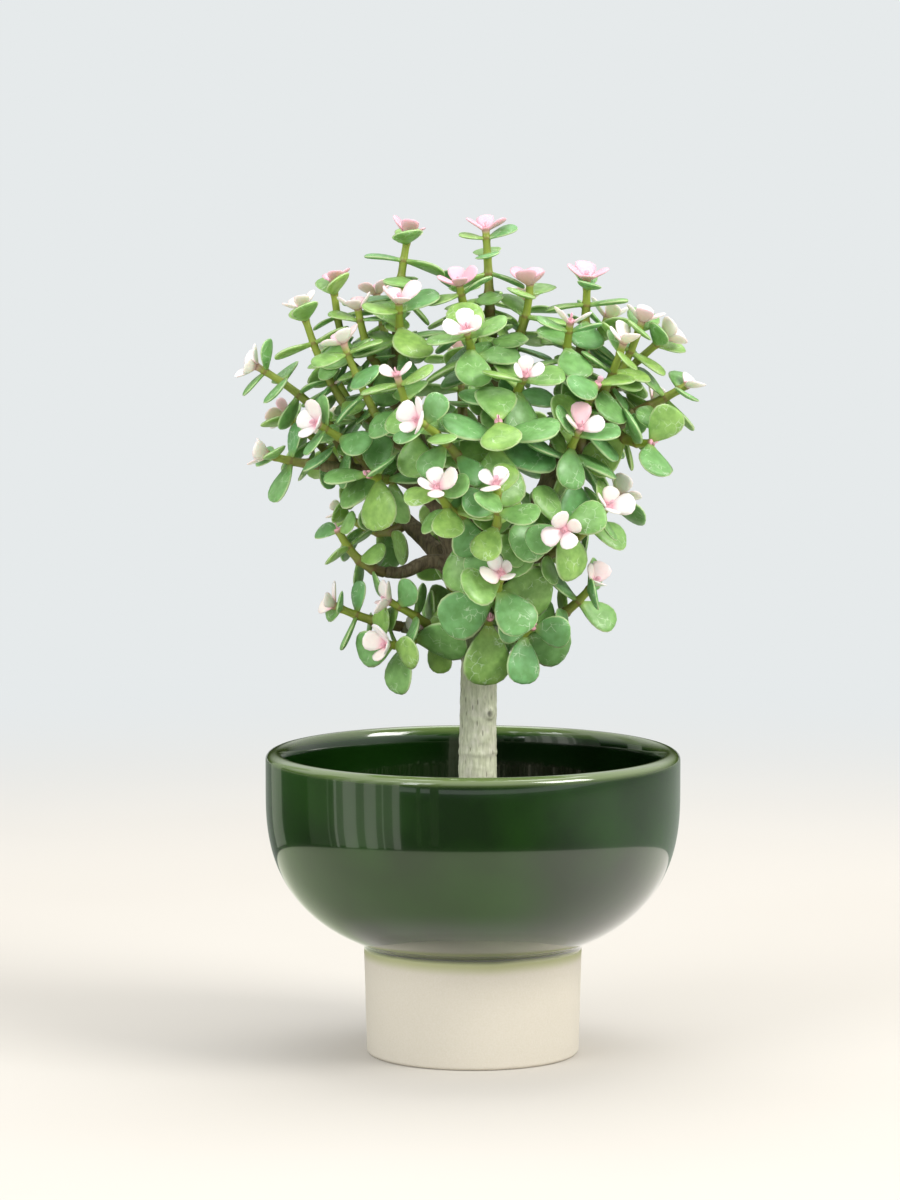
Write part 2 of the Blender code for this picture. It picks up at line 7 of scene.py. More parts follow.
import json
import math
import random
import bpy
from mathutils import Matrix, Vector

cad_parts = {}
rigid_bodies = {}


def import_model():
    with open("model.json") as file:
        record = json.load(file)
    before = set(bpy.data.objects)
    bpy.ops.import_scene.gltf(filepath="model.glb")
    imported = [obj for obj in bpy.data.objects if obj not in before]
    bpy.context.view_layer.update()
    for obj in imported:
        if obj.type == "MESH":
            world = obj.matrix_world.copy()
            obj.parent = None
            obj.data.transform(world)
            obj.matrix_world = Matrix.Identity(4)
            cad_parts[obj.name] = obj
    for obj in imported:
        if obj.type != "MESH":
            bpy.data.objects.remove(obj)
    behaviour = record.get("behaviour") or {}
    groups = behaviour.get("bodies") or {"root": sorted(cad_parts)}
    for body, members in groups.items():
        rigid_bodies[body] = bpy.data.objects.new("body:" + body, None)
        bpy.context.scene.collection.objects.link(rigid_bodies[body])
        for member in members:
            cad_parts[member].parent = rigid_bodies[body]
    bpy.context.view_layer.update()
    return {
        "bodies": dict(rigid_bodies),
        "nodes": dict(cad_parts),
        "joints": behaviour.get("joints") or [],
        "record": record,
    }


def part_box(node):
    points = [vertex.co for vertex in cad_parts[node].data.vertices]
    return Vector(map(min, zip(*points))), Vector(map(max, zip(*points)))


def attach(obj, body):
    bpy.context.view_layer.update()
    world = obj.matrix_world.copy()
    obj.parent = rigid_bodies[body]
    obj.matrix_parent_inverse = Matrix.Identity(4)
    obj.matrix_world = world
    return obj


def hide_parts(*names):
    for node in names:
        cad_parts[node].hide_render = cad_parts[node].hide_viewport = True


bl_info = {
    "name": "Potted Jade Plant",
    "version": (1, 0, 0),
    "blender": (4, 5, 0),
    "location": "View3D > Sidebar > Potted jade",
    "description": "Models a small-leaved jade tree in a footed stoneware bowl, with its stage",
    "category": "Object",
}

from collections import namedtuple
from itertools import pairwise, product

import bmesh
import bpy
from bpy.props import FloatProperty, FloatVectorProperty, IntProperty, PointerProperty
from mathutils import Euler, Matrix, Vector
from mathutils.bvhtree import BVHTree

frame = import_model()

MM = 0.001

# Sizes that the looks share with the frame's solids, in millimetres
BOWL_RADIUS = 85.0
RIM_HEIGHT = 125.0
BOWL_CURVE = 68.0
BOWL_FULLNESS = 2.5
FOOT_HEIGHT = 46.0
FOOT_TOP_RADIUS = 45.0
FOOT_BASE_RADIUS = 43.6
FOOT_EDGE = 1.6
WALL = 7.5
FLOOR = 9.0
LIP_HEIGHT = 3.2
SOIL_DEPTH = 34.0
SOIL_CROWN = 3.0
SOIL_SEAT = ((36.0, 46.0), (58.0, 66.0), (70.0, 80.0))  # (radius, height) up the bowl's inner side
TRUNK_RADIUS = 7.7
TRUNK_FORK = 184.0
TRUNK_BURIED = 28.0
ROOT_FLARE = 1.15
JOINT_GAP = 0.35

# Sizes that only the looks have, in millimetres
LIP_SLOPE = 8.0  # how far the lip eases down into the bowl
LIP_LEAN = 0.6  # how far the lip's crest lies inside the middle of the wall
MIX_CLEARANCE = 0.6
CRUMB_HEIGHT = 89.0  # above this the mix is crumbly
TREE_FORKS = Vector((4.0, 0.0, 150.0))  # grey bark lies round this, and brown bark further out
KNOT = Vector((7.0, -6.2, 141.0))
KNOT_HOLLOW = Vector((7.3, -7.4, 141.0))
TRUNK_RINGS = ((124.5, 0.05, 0.9), (158.0, 0.03, 1.2))  # (height, share of the radius added, half-width)
LIMB_RING_SPACING = 11.0
SUNNED_FROM = 285.0  # young leaves start to blush more from this height
SUNNED_OVER = 30.0  # and are pinkest this much further up

# Growth of the shoots, as in the frame, in millimetres and degrees
TWIG_BASE_RADIUS = 2.0
TWIG_TIP_RADIUS = 1.25
TWIG_RISE = 0.16
NODE_HEIGHT = 1.9
BUD_HEIGHT = 1.6
TUFT_DEPTH = 0.6
PAIR_DEPTHS = (3.8, 10.5, 17.5, 25.0, 33.0)
PAIR_SIZES = (0.9, 1.05, 1.08, 1.0, 0.9)
PAIR_LIFTS = (20.0, 2.0, -16.0, -28.0, -35.0)
TUFT_SIZE = 8.2
TUFT_LIFT = 38.0
SMALL_LEAF = 9.0
LEAF_ASPECT = 0.8
LEAF_THICKNESS = 0.105
LEAF_ROOM = 0.45
ROOM_START = 1.6
WIDEST_AT = 0.62
CROWN_CENTRE = Vector((0, 0, 225))
ROLL_MOST = 50.0

# Each limb's centreline and radius, in millimetres: (x, y, z, radius). A limb starts inside what it
# grows from.
LIMBS = {
    "left": [(2, 0, 180, 6.4), (-3, -1, 198, 5.8), (-9, -2, 214, 5.2), (-15, -2, 230, 4.6),
             (-21, -1, 247, 4.0), (-27, 0, 264, 3.4), (-30, 0, 280, 2.9), (-31, 0, 293, 2.5)],
    "far_left": [(-12, -2, 224, 4.2), (-24, -5, 235, 3.4), (-36, -6, 240, 3.0), (-50, -7, 241, 2.7),
                 (-62, -8, 243, 2.4)],
    "centre": [(4, 1, 178, 6.6), (6, 2, 200, 6.0), (6, 2, 222, 5.2), (5, 1, 244, 4.6), (6, 0, 264, 4.0),
               (7, 0, 282, 3.3), (7, -1, 298, 2.7)],
    "right": [(4, 0, 180, 6.2), (14, -1, 200, 5.4), (24, -1, 218, 4.8), (34, -2, 234, 4.2),
              (44, -3, 248, 3.6), (56, -4, 257, 3.0), (66, -5, 264, 2.5)],
    "upper_right": [(25, -1, 220, 4.2), (31, 1, 237, 3.7), (35, 2, 254, 3.2), (39, 2, 272, 2.8),
                    (43, 1, 286, 2.4)],
    "low_left": [(1, -2, 162, 3.6), (-8, -4, 169, 3.0), (-18, -7, 174, 2.6), (-29, -9, 177, 2.3)],
    "low_right": [(5, -1, 161, 3.4), (13, -4, 168, 2.8), (22, -7, 173, 2.5), (30, -9, 178, 2.3)],
    "mid_left": [(0, 0, 186, 4.2), (-9, -1, 200, 3.4), (-18, -2, 203, 2.9), (-28, -4, 199, 2.6),
                 (-36, -6, 199, 2.4)],
    "front": [(4, -2, 178, 5.0), (3, -14, 196, 4.4), (1, -26, 212, 3.8), (0, -37, 227, 3.1),
              (-2, -44, 242, 2.6)],
    "front_right": [(5, -1, 180, 4.4), (14, -15, 196, 3.6), (23, -26, 207, 3.0), (31, -35, 218, 2.6)],
    "back": [(3, 3, 176, 5.4), (1, 17, 198, 4.8), (-2, 29, 218, 4.1), (-4, 38, 238, 3.4), (-4, 43, 256, 2.7)],
    "back_left": [(1, 3, 184, 4.4), (-13, 15, 203, 3.8), (-28, 25, 218, 3.2), (-40, 32, 232, 2.6)],
    "back_right": [(6, 3, 182, 4.6), (18, 15, 202, 4.0), (31, 25, 218, 3.3), (42, 32, 234, 2.6)],
    "back_low": [(4, 2, 164, 3.4), (8, 14, 177, 2.8), (12, 25, 184, 2.4)],
}

# One leafy shoot: the limb that carries it and how far along (1 is the end), the tip in millimetres, how many
# pairs of leaves, their length in millimetres, the turn of the top pair in degrees, and the whorl's leaves.
Shoot = namedtuple("Shoot", "limb along tip pairs leaf turn whorl")
SHOOTS = [
    Shoot("left", 1.0, (-26, 0, 338), 5, 15, 0, 4),
    Shoot("centre", 1.0, (5, -2, 340), 5, 13, 0, 3),
    Shoot("left", 0.95, (-30, -27, 312), 4, 18, 20, 4),
    Shoot("left", 0.88, (-47, -10, 309), 4, 14, 40, 4),
    Shoot("left", 0.78, (-57, -2, 320), 4, 15, 10, 3),
    Shoot("left", 0.66, (-70, -6, 309), 5, 15, 0, 4),
    Shoot("left", 0.60, (-53, -28, 296), 4, 15, 60, 4),
    Shoot("left", 0.52, (-31, -50, 284), 4, 17, 0, 2),
    Shoot("centre", 0.97, (-6, -22, 319), 4, 15, 40, 4),
    Shoot("centre", 0.84, (-3, -44, 301), 5, 18, 15, 4),
    Shoot("centre", 0.91, (23, -10, 319), 4, 16, 10, 4),
    Shoot("centre", 0.72, (21, -47, 283), 4, 18, 0, 3),
    Shoot("centre", 0.50, (10, -60, 268), 4, 22, 90, 0),
    Shoot("upper_right", 1.0, (46, -6, 320), 5, 15, 20, 4),
    Shoot("upper_right", 0.85, (39, -32, 304), 4, 15, 10, 2),
    Shoot("upper_right", 0.72, (69, -10, 304), 5, 16, 20, 4),
    Shoot("upper_right", 0.55, (61, -26, 296), 4, 15, 70, 3),
    Shoot("far_left", 1.0, (-85, -10, 248), 5, 15, 10, 4),
    Shoot("far_left", 0.80, (-90, -4, 284), 5, 15, 15, 4),
    Shoot("far_left", 0.66, (-64, -30, 262), 4, 15, 50, 4),
    Shoot("far_left", 0.45, (-45, -38, 243), 4, 18, 10, 0),
    Shoot("mid_left", 1.0, (-57, -10, 222), 5, 12, 40, 0),
    Shoot("low_left", 1.0, (-58, -14, 187), 5, 13, 20, 3),
    Shoot("low_left", 0.62, (-36, -24, 190), 4, 16, 0, 4),
    Shoot("front", 1.0, (-23, -66, 266), 4, 14, 45, 4),
    Shoot("front", 0.80, (-15, -66, 240), 5, 15, 20, 4),
    Shoot("front", 0.62, (9, -68, 242), 5, 15, 60, 4),
    Shoot("front", 0.26, (11, -50, 204), 4, 21, 30, 4),
    Shoot("front_right", 1.0, (36, -58, 221), 5, 18, 10, 4),
    Shoot("front_right", 0.70, (55, -38, 230), 5, 16, 30, 4),
    Shoot("right", 0.62, (43, -46, 262), 4, 18, 0, 3),
    Shoot("right", 0.76, (52, -37, 282), 4, 18, 45, 0),
    Shoot("right", 1.0, (88, -6, 276), 5, 15, 20, 2),
    Shoot("right", 0.88, (80, -2, 296), 4, 16, 0, 3),
    Shoot("right", 0.90, (76, -24, 254), 4, 18, 45, 0),
    Shoot("low_right", 1.0, (50, -17, 197), 5, 16, 20, 3),
    Shoot("low_right", 0.60, (27, -31, 182), 4, 18, 0, 0),
    Shoot("low_left", 0.82, (-36, -30, 172), 3, 19, 0, 4),
    Shoot("front", 0.10, (7, -36, 186), 3, 25, 0, 0),
    Shoot("left", 0.86, (-40, 26, 313), 4, 16, 20, 4),
    Shoot("left", 0.62, (-62, 26, 288), 5, 16, 50, 3),
    Shoot("centre", 0.88, (-6, 26, 318), 4, 16, 50, 4),
    Shoot("centre", 0.78, (22, 30, 310), 4, 16, 0, 4),
    Shoot("upper_right", 0.90, (56, 26, 303), 4, 16, 40, 3),
    Shoot("far_left", 0.90, (-78, 18, 262), 5, 16, 20, 4),
    Shoot("right", 0.80, (76, 22, 268), 5, 16, 50, 4),
    Shoot("back", 1.0, (-6, 62, 286), 5, 17, 0, 4),
    Shoot("back", 0.80, (-26, 66, 264), 5, 16, 30, 4),
    Shoot("back", 0.72, (18, 70, 258), 5, 17, 10, 4),
    Shoot("back", 0.50, (-6, 66, 228), 5, 17, 60, 3),
    Shoot("back_left", 1.0, (-60, 50, 256), 5, 16, 20, 4),
    Shoot("back_left", 0.70, (-56, 38, 222), 5, 16, 50, 3),
    Shoot("back_right", 1.0, (56, 54, 262), 5, 16, 0, 4),
    Shoot("back_right", 0.75, (62, 40, 228), 5, 16, 40, 4),
    Shoot("back_right", 0.55, (34, 58, 220), 5, 16, 20, 3),
    Shoot("back_low", 1.0, (20, 50, 198), 5, 16, 30, 3),
    Shoot("back_low", 0.60, (-12, 42, 196), 5, 15, 0, 3),
]

# Node of a twig that carries leaves: the depth of its upper edge below the tip, how many leaves, their
# length, their lift in degrees, and whether it is turned a quarter from the top pair.
LeafNode = namedtuple("LeafNode", "depth leaves length lift quarter")

# One leaf: where it grows from, its lift and swing in degrees, its length, and its turn about that in
# degrees.
Leaf = namedtuple("Leaf", "root lift swing length roll")


# How the tree grows, in millimetres


def frames_along(points, start=None):
    """A matrix at each point of a path, with +Z along the path and no twist from one to the next.

    The first frame looks along start, if it is given.
    """
    frames = []
    for i, here in enumerate(points):
        forward = (points[min(i + 1, len(points) - 1)] - points[max(i - 1, 0)]).normalized()
        if start and not frames:
            forward = start
        if frames:
            basis = before.rotation_difference(forward).to_matrix() @ basis
        else:
            basis = forward.to_track_quat("Z", "Y").to_matrix()
        before = forward
        frames.append(Matrix.Translation(here) @ basis.to_4x4())
    return frames


def trunk_path():
    """The trunk's centreline from its buried end up to the fork, as (point, radius) pairs."""
    level = RIM_HEIGHT - SOIL_DEPTH
    rise = TRUNK_FORK - level
    stations = [
        (-TRUNK_BURIED, 2.0, ROOT_FLARE),
        (0.0, 2.0, 1.06),
        (0.38 * rise, 2.0, 1.0),
        (0.72 * rise, 2.5, 0.97),
        (rise, 3.5, 0.94),
    ]
    return [(Vector((x, 0.0, level + up)), TRUNK_RADIUS * share) for up, x, share in stations]


def limb_path(name):
    return [(Vector((x, y, z)), radius) for x, y, z, radius in LIMBS[name]]


def limb_at(name, along):
    """Point, direction and radius at a share of a limb's length."""
    path = limb_path(name)
    lengths = [(b[0] - a[0]).length for a, b in pairwise(path)]
    left = along * sum(lengths)
    for (a, b), length in zip(pairwise(path), lengths):
        if left <= length * 1.0001:
            share = left / length
            point = a[0].lerp(b[0], share)
            return point, (b[0] - a[0]).normalized(), a[1] + (b[1] - a[1]) * share
        left -= length


def twig_curve(shoot):
    """A function from 0..1 to a point of the twig, the direction it starts in, and its length."""
    tip = Vector(shoot.tip)
    on_limb, along, radius = limb_at(shoot.limb, shoot.along)
    if shoot.along == 1.0:
        outward = along
        start = on_limb + outward * JOINT_GAP
    else:
        reach = tip - on_limb
        outward = (reach - along * reach.dot(along)).normalized()
        start = on_limb + outward * (radius + JOINT_GAP)
    length = (tip - start).length
    middle = start.lerp(tip, 0.5) - Vector((0, 0, TWIG_RISE * length))
    control = middle.lerp(start + outward * length * 0.5, 0.6)

    def point(t):
        return start.lerp(control, t).lerp(control.lerp(tip, t), t)

    return point, outward, length


def leaf_nodes(shoot, length):
    """The nodes of a twig that carry leaves, from the tip down, as far as the twig has room for them."""
    nodes = []
    if shoot.whorl:
        nodes.append(LeafNode(TUFT_DEPTH, shoot.whorl, TUFT_SIZE, TUFT_LIFT, False))
    for number in range(shoot.pairs):
        depth = PAIR_DEPTHS[number]
        if depth + 2 * NODE_HEIGHT > length:
            break
        size = shoot.leaf * PAIR_SIZES[number]
        nodes.append(LeafNode(depth, 2, size, PAIR_LIFTS[number], number % 2 == 1))
    return nodes


def twig_rings(shoot):
    """The twig's frames and radii from its base to its tip, and its leaf nodes with their lower ring."""
    point, outward, length = twig_curve(shoot)
    nodes = leaf_nodes(shoot, length)
    depths = [length, *(d for node in reversed(nodes) for d in (node.depth + NODE_HEIGHT, node.depth))]
    points = [point(1 - depth / length) for depth in depths]
    taper = [TWIG_TIP_RADIUS + (TWIG_BASE_RADIUS - TWIG_TIP_RADIUS) * depth / length for depth in depths]
    turn = Matrix.Rotation(math.radians(shoot.turn), 4, "Z")
    frames = [frame @ turn for frame in frames_along(points, outward)]
    count = len(nodes)
    return frames, taper, [(node, 1 + 2 * (count - 1 - number)) for number, node in enumerate(nodes)]


def leaf_roots(frames, radii, ring, node):
    """Where each leaf of a node starts: the middle of a side face, X across, Y up the twig, Z outwards."""
    lower, upper = frames[ring], frames[ring + 1]
    middle = (lower.translation + upper.translation) / 2
    basis = lower.to_3x3().to_4x4()
    face_distance = (radii[ring] + radii[ring + 1]) / 2 * math.cos(math.pi / 4)
    spread = 360 / (4 if node.leaves > 2 else 2)
    first = 90 if node.quarter else 0
    for number in range(node.leaves):
        around = Matrix.Rotation(math.radians(first + spread * number), 4, "Z")
        outwards = Matrix.Rotation(math.radians(90), 4, "Y") @ Matrix.Rotation(math.radians(90), 4, "Z")
        to_face = Matrix.Translation((face_distance, 0, 0))
        yield Matrix.Translation(middle) @ basis @ around @ to_face @ outwards


def leaf_frame(leaf, share):
    """The frame of a leaf's cross-section at a share of its length: X across, Y out of its upper face."""
    frame = leaf.root @ Matrix.Rotation(math.radians(leaf.swing), 4, "Y")
    frame = frame @ Matrix.Rotation(math.radians(-leaf.lift), 4, "X")
    roll = Matrix.Rotation(math.radians(leaf.roll * min(1, share / WIDEST_AT)), 4, "Z")
    return frame @ Matrix.Translation((0, 0, share * leaf.length)) @ roll


def towards_light(leaf):
    """The leaf, turned about its length so that its upper face looks outwards and upwards."""
    frame = leaf_frame(leaf, 0)
    along, face = frame.col[2].to_3d(), frame.col[1].to_3d()
    light = (frame.translation - CROWN_CENTRE).normalized() + Vector((0, 0, 0.7))
    angle = math.degrees(math.atan2(along.dot(face.cross(light)), face.dot(light)))
    return leaf._replace(roll=max(-ROLL_MOST, min(ROLL_MOST, angle)))


def leaf_room(leaf):
    """The space that a leaf needs, as a closed hull for the clearance test."""
    length = leaf.length
    width, thick = length * LEAF_ASPECT / 2, length * LEAF_THICKNESS / 2 + LEAF_ROOM
    outline = [(ROOM_START / length, 0.28), (0.45, 0.9), (0.8, 0.95), (1.0, 0.55)]
    points = []
    for share, across in outline:
        frame = leaf_frame(leaf, share)
        half = across * width
        points += [frame @ Vector((x, y, 0)) for x, y in
                   ((half, thick), (-half, thick), (-half, -thick), (half, -thick))]
    faces = [(0, 1, 2, 3), tuple(range(len(points) - 4, len(points)))]
    for start in range(0, len(points) - 4, 4):
        faces += [(start + i, start + (i + 1) % 4, start + 4 + (i + 1) % 4, start + 4 + i) for i in range(4)]
    return points, faces


class Occupied:
    """The space already taken, for finding where a new leaf has room."""

    def __init__(self):
        self.items = []

    def add(self, points, faces):
        self.items.append(self.item(points, faces))

    def item(self, points, faces):
        middle = sum(points, Vector()) / len(points)
        reach = max((point - middle).length for point in points)
        return middle, reach, BVHTree.FromPolygons(points, faces)

    def free(self, points, faces):
        middle, reach, tree = self.item(points, faces)
        return not any(
            (middle - other).length < reach + far and tree.overlap(taken)
            for other, far, taken in self.items
        )

    def add_tube(self, points, radii, sides=6):
        """A limb or a twig, one stretch at a time, so that the tests stay local."""
        frames = frames_along(points)
        rings = [
            [frame @ Vector((radius * math.cos(a), radius * math.sin(a), 0))
             for a in (2 * math.pi * k / sides for k in range(sides))]
            for frame, radius in zip(frames, radii)
        ]
        for low, high in pairwise(rings):
            walls = [(i, (i + 1) % sides, sides + (i + 1) % sides, sides + i) for i in range(sides)]
            self.add(low + high, [tuple(range(sides)), tuple(range(sides, 2 * sides)), *walls])


# A leaf that has no room where it would grow tries these in turn: (size, swing and lift in degrees).
LEAF_TRIES = sorted(
    product((1.0, 0.86, 0.72, 0.58), (0, 12, -12, 25, -25, 38, -38), (0, 10, -10, 22, -22, 35)),
    key=lambda way: (1 - way[0]) * 120 + abs(way[1]) + abs(way[2]),
)


def place_leaves(trunk_points):
    """Every shoot's rings, and its leaves, each clear of all that came before it."""
    occupied = Occupied()
    for path in [trunk_points, *map(limb_path, LIMBS)]:
        occupied.add_tube([point for point, _ in path], [radius + JOINT_GAP for _, radius in path])
    rings = [twig_rings(shoot) for shoot in SHOOTS]
    for frames, radii, _ in rings:
        bud = frames[-1] @ Vector((0, 0, BUD_HEIGHT))
        middles = [*(frame.translation for frame in frames), bud]
        occupied.add_tube(middles, [radius + JOINT_GAP for radius in (*radii, radii[-1] / 2)])
    placed = []
    for number, (frames, radii, nodes) in enumerate(rings):
        dice = random.Random(number)
        leaves = []
        for node, ring in nodes:
            for root in leaf_roots(frames, radii, ring, node):
                natural = node.lift + dice.uniform(-14, 14)
                length = node.length * dice.uniform(0.88, 1.08)
                for size, swing, lift in LEAF_TRIES:
                    leaf = Leaf(root, natural + lift, swing, length * size, 0.0)
                    if node.leaves == 2:
                        leaf = towards_light(leaf)
                    room = leaf_room(leaf)
                    if occupied.free(*room):
                        occupied.add(*room)
                        leaves.append(leaf)
                        break
        placed.append(leaves)
    return rings, placed


def shoot_names():
    """A name for each shoot: its limb, and its number on that limb."""
    seen = {}
    for shoot in SHOOTS:
        seen[shoot.limb] = seen.get(shoot.limb, 0) + 1
        yield f"{shoot.limb}_shoot_{seen[shoot.limb]}"


# Working by hand: selecting, turning, drawing out


def millimetres(matrix):
    """A matrix worked out in millimetres, as one that takes millimetres to metres."""
    return Matrix.Scale(MM, 4) @ matrix


def deselect():
    if bpy.context.object and bpy.context.object.mode != "OBJECT":
        bpy.ops.object.mode_set(mode="OBJECT")
    bpy.ops.object.select_all(action="DESELECT")


def take(obj):
    """Makes an object the only selected and the active one."""
    deselect()
    obj.select_set(True)
    bpy.context.view_layer.objects.active = obj


def apply(obj, kind, **settings):
    """Adds a modifier and applies it."""
    take(obj)
    modifier = obj.modifiers.new(kind.title(), kind)
    for name, value in settings.items():
        setattr(modifier, name, value)
    bpy.ops.object.modifier_apply(modifier=modifier.name)


def select_where(obj, test):
    """In edit mode, selects the vertices whose place passes the test, and what lies between them."""
    mesh = bmesh.from_edit_mesh(obj.data)
    for vertex in mesh.verts:
        vertex.select_set(bool(test(vertex.co)))
    mesh.select_flush_mode()
    bmesh.update_edit_mesh(obj.data)


def turned(name, profile, sides):
    """A closed turned body: a disc at the profile's first point, drawn out ring by ring to its last."""
    deselect()
    (radius, height), *_ = profile
    bpy.ops.mesh.primitive_circle_add(
        vertices=sides, radius=radius * MM, fill_type="NGON", location=(0, 0, height * MM))
    obj = bpy.context.object
    bpy.ops.object.transform_apply()
    bpy.ops.object.mode_set(mode="EDIT")
    for (r0, z0), (r1, z1) in pairwise(profile):
        bpy.ops.mesh.extrude_region_move(TRANSFORM_OT_translate={"value": (0, 0, (z1 - z0) * MM)})
        bpy.ops.transform.resize(value=(r1 / r0, r1 / r0, 1), center_override=(0, 0, 0))
    bpy.ops.mesh.select_all(action="SELECT")
    bpy.ops.mesh.normals_make_consistent(inside=False)
    bpy.ops.object.mode_set(mode="OBJECT")
    obj.name = obj.data.name = name
    return obj


def tube(name, points, radii, sides, marks=None):
    """A closed round tube through the points, in millimetres, with a radius at each.

    Marks are float attributes.
    """
    deselect()
    bpy.ops.curve.primitive_bezier_curve_add()
    obj = bpy.context.object
    curve = obj.data
    curve.splines.clear()
    spline = curve.splines.new("POLY")
    spline.points.add(len(points) - 1)
    for knot, point, radius in zip(spline.points, points, radii):
        knot.co = (*(point * MM), 1)
        knot.radius = radius
    curve.dimensions = "3D"
    curve.bevel_mode = "ROUND"
    curve.bevel_depth = MM
    curve.bevel_resolution = sides // 2 - 2
    curve.use_fill_caps = True
    bpy.ops.object.convert(target="MESH")
    obj = bpy.context.object
    bpy.ops.object.mode_set(mode="EDIT")
    bpy.ops.mesh.select_all(action="SELECT")
    bpy.ops.mesh.remove_doubles(threshold=1e-6)
    bpy.ops.mesh.normals_make_consistent(inside=False)
    bpy.ops.object.mode_set(mode="OBJECT")
    obj.name = obj.data.name = name
    for key, values in (marks or {}).items():
        layer = obj.data.attributes.new(key, "FLOAT", "POINT")
        for vertex, value in zip(obj.data.vertices, layer.data):
            nearest = min(range(len(points)), key=lambda i: (points[i] * MM - vertex.co).length_squared)
            value.value = values[nearest]
    return obj


def joined(name, parts):
    """One object from copies of modelled shapes. A part is (shape's mesh, its place, {attribute: value})."""
    gathered = bmesh.new()
    for shape, place, marks in parts:
        copy = shape.copy()
        copy.transform(place)
        for key, value in marks.items():
            copy.attributes[key].data.foreach_set("value", [value] * len(copy.vertices))
        gathered.from_mesh(copy)
        bpy.data.meshes.remove(copy)
    mesh = bpy.data.meshes.new(name)
    gathered.to_mesh(mesh)
    gathered.free()
    mesh.shade_smooth()
    obj = bpy.data.objects.new(name, mesh)
    bpy.context.collection.objects.link(obj)
    return obj


def finish(obj, finish_name, slot, *nodes):
    """Gives a piece its finish and its body, and hides the CAD nodes that it stands for. The slot is not
    used.
    """
    obj.data.materials.clear()
    obj.data.materials.append(bpy.data.materials[finish_name])
    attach(obj, "root")
    if nodes:
        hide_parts(*nodes)


# The bowl


def curve_centre():
    """Height of the centre of the bowl's curve, which meets the foot at FOOT_HEIGHT."""
    share = (FOOT_TOP_RADIUS / BOWL_RADIUS) ** BOWL_FULLNESS
    return FOOT_HEIGHT + BOWL_CURVE * (1 - share) ** (1 / BOWL_FULLNESS)


def bowl_arc(radius, depth, start_radius, steps):
    """Points (r, z) up a full curve with these half-axes, from start_radius out to its widest."""
    power = 2 / BOWL_FULLNESS
    start = math.acos((start_radius / radius) ** (1 / power))
    angles = [start * (1 - step / steps) for step in range(steps + 1)]
    return [(radius * math.cos(a) ** power, curve_centre() - depth * math.sin(a) ** power) for a in angles]


def arc_points(centre, half_axes, start, end, steps):
    """Points (r, z) round an elliptical arc, between two angles in degrees."""
    angles = [math.radians(start + (end - start) * step / steps) for step in range(steps + 1)]
    return [(centre[0] + half_axes[0] * math.cos(a), centre[1] + half_axes[1] * math.sin(a)) for a in angles]


def bowl_profile():
    """From the underside up the outer wall, over the lip and down inside to the edge of the floor."""
    foot_edge = arc_points((FOOT_BASE_RADIUS - FOOT_EDGE, FOOT_EDGE), (FOOT_EDGE, FOOT_EDGE), -90, 0, 4)
    hollow = ((-0.25, -3.0), (-0.1, -1.6), (0.45, -0.5), (1.5, 0.45))
    corner = [(FOOT_TOP_RADIUS + out, FOOT_HEIGHT + up) for out, up in hollow]
    lower = bowl_arc(BOWL_RADIUS, BOWL_CURVE, FOOT_TOP_RADIUS, 40)
    outside = [point for point in lower if point[0] > FOOT_TOP_RADIUS + 2.0]
    crest = BOWL_RADIUS - WALL / 2 - LIP_LEAN
    lip_out = arc_points((crest, RIM_HEIGHT - LIP_HEIGHT), (BOWL_RADIUS - crest, LIP_HEIGHT), 0, 90, 7)
    reach_in = crest - BOWL_RADIUS + WALL
    lip_in = arc_points((crest, RIM_HEIGHT - LIP_SLOPE), (reach_in, LIP_SLOPE), 90, 180, 7)
    inside = bowl_arc(BOWL_RADIUS - WALL, BOWL_CURVE - WALL, FOOT_TOP_RADIUS - WALL, 24)
    base = [(FOOT_BASE_RADIUS - WALL, FLOOR + 2), (FOOT_BASE_RADIUS - WALL - 2, FLOOR)]
    underside = (FOOT_BASE_RADIUS - 6, 0.0)
    return [underside, *foot_edge, *corner, *outside, *lip_out, *lip_in[1:], *reversed(inside), *base]


def make_bowl(look):
    """The bowl, its lip and its foot, thrown as one piece."""
    bowl = turned("bowl_turned", bowl_profile(), look.sides)
    take(bowl)
    bpy.ops.object.shade_smooth_by_angle(angle=math.radians(50))
    finish(bowl, "green_glazed_stoneware", "glazed_stoneware", "footed_bowl")


# The potting mix


def mix_height(radius):
    """Height of the mix at a distance from the axis, in millimetres."""
    edge = BOWL_RADIUS - WALL
    return RIM_HEIGHT - SOIL_DEPTH + SOIL_CROWN * (1 - (radius / edge) ** 2)


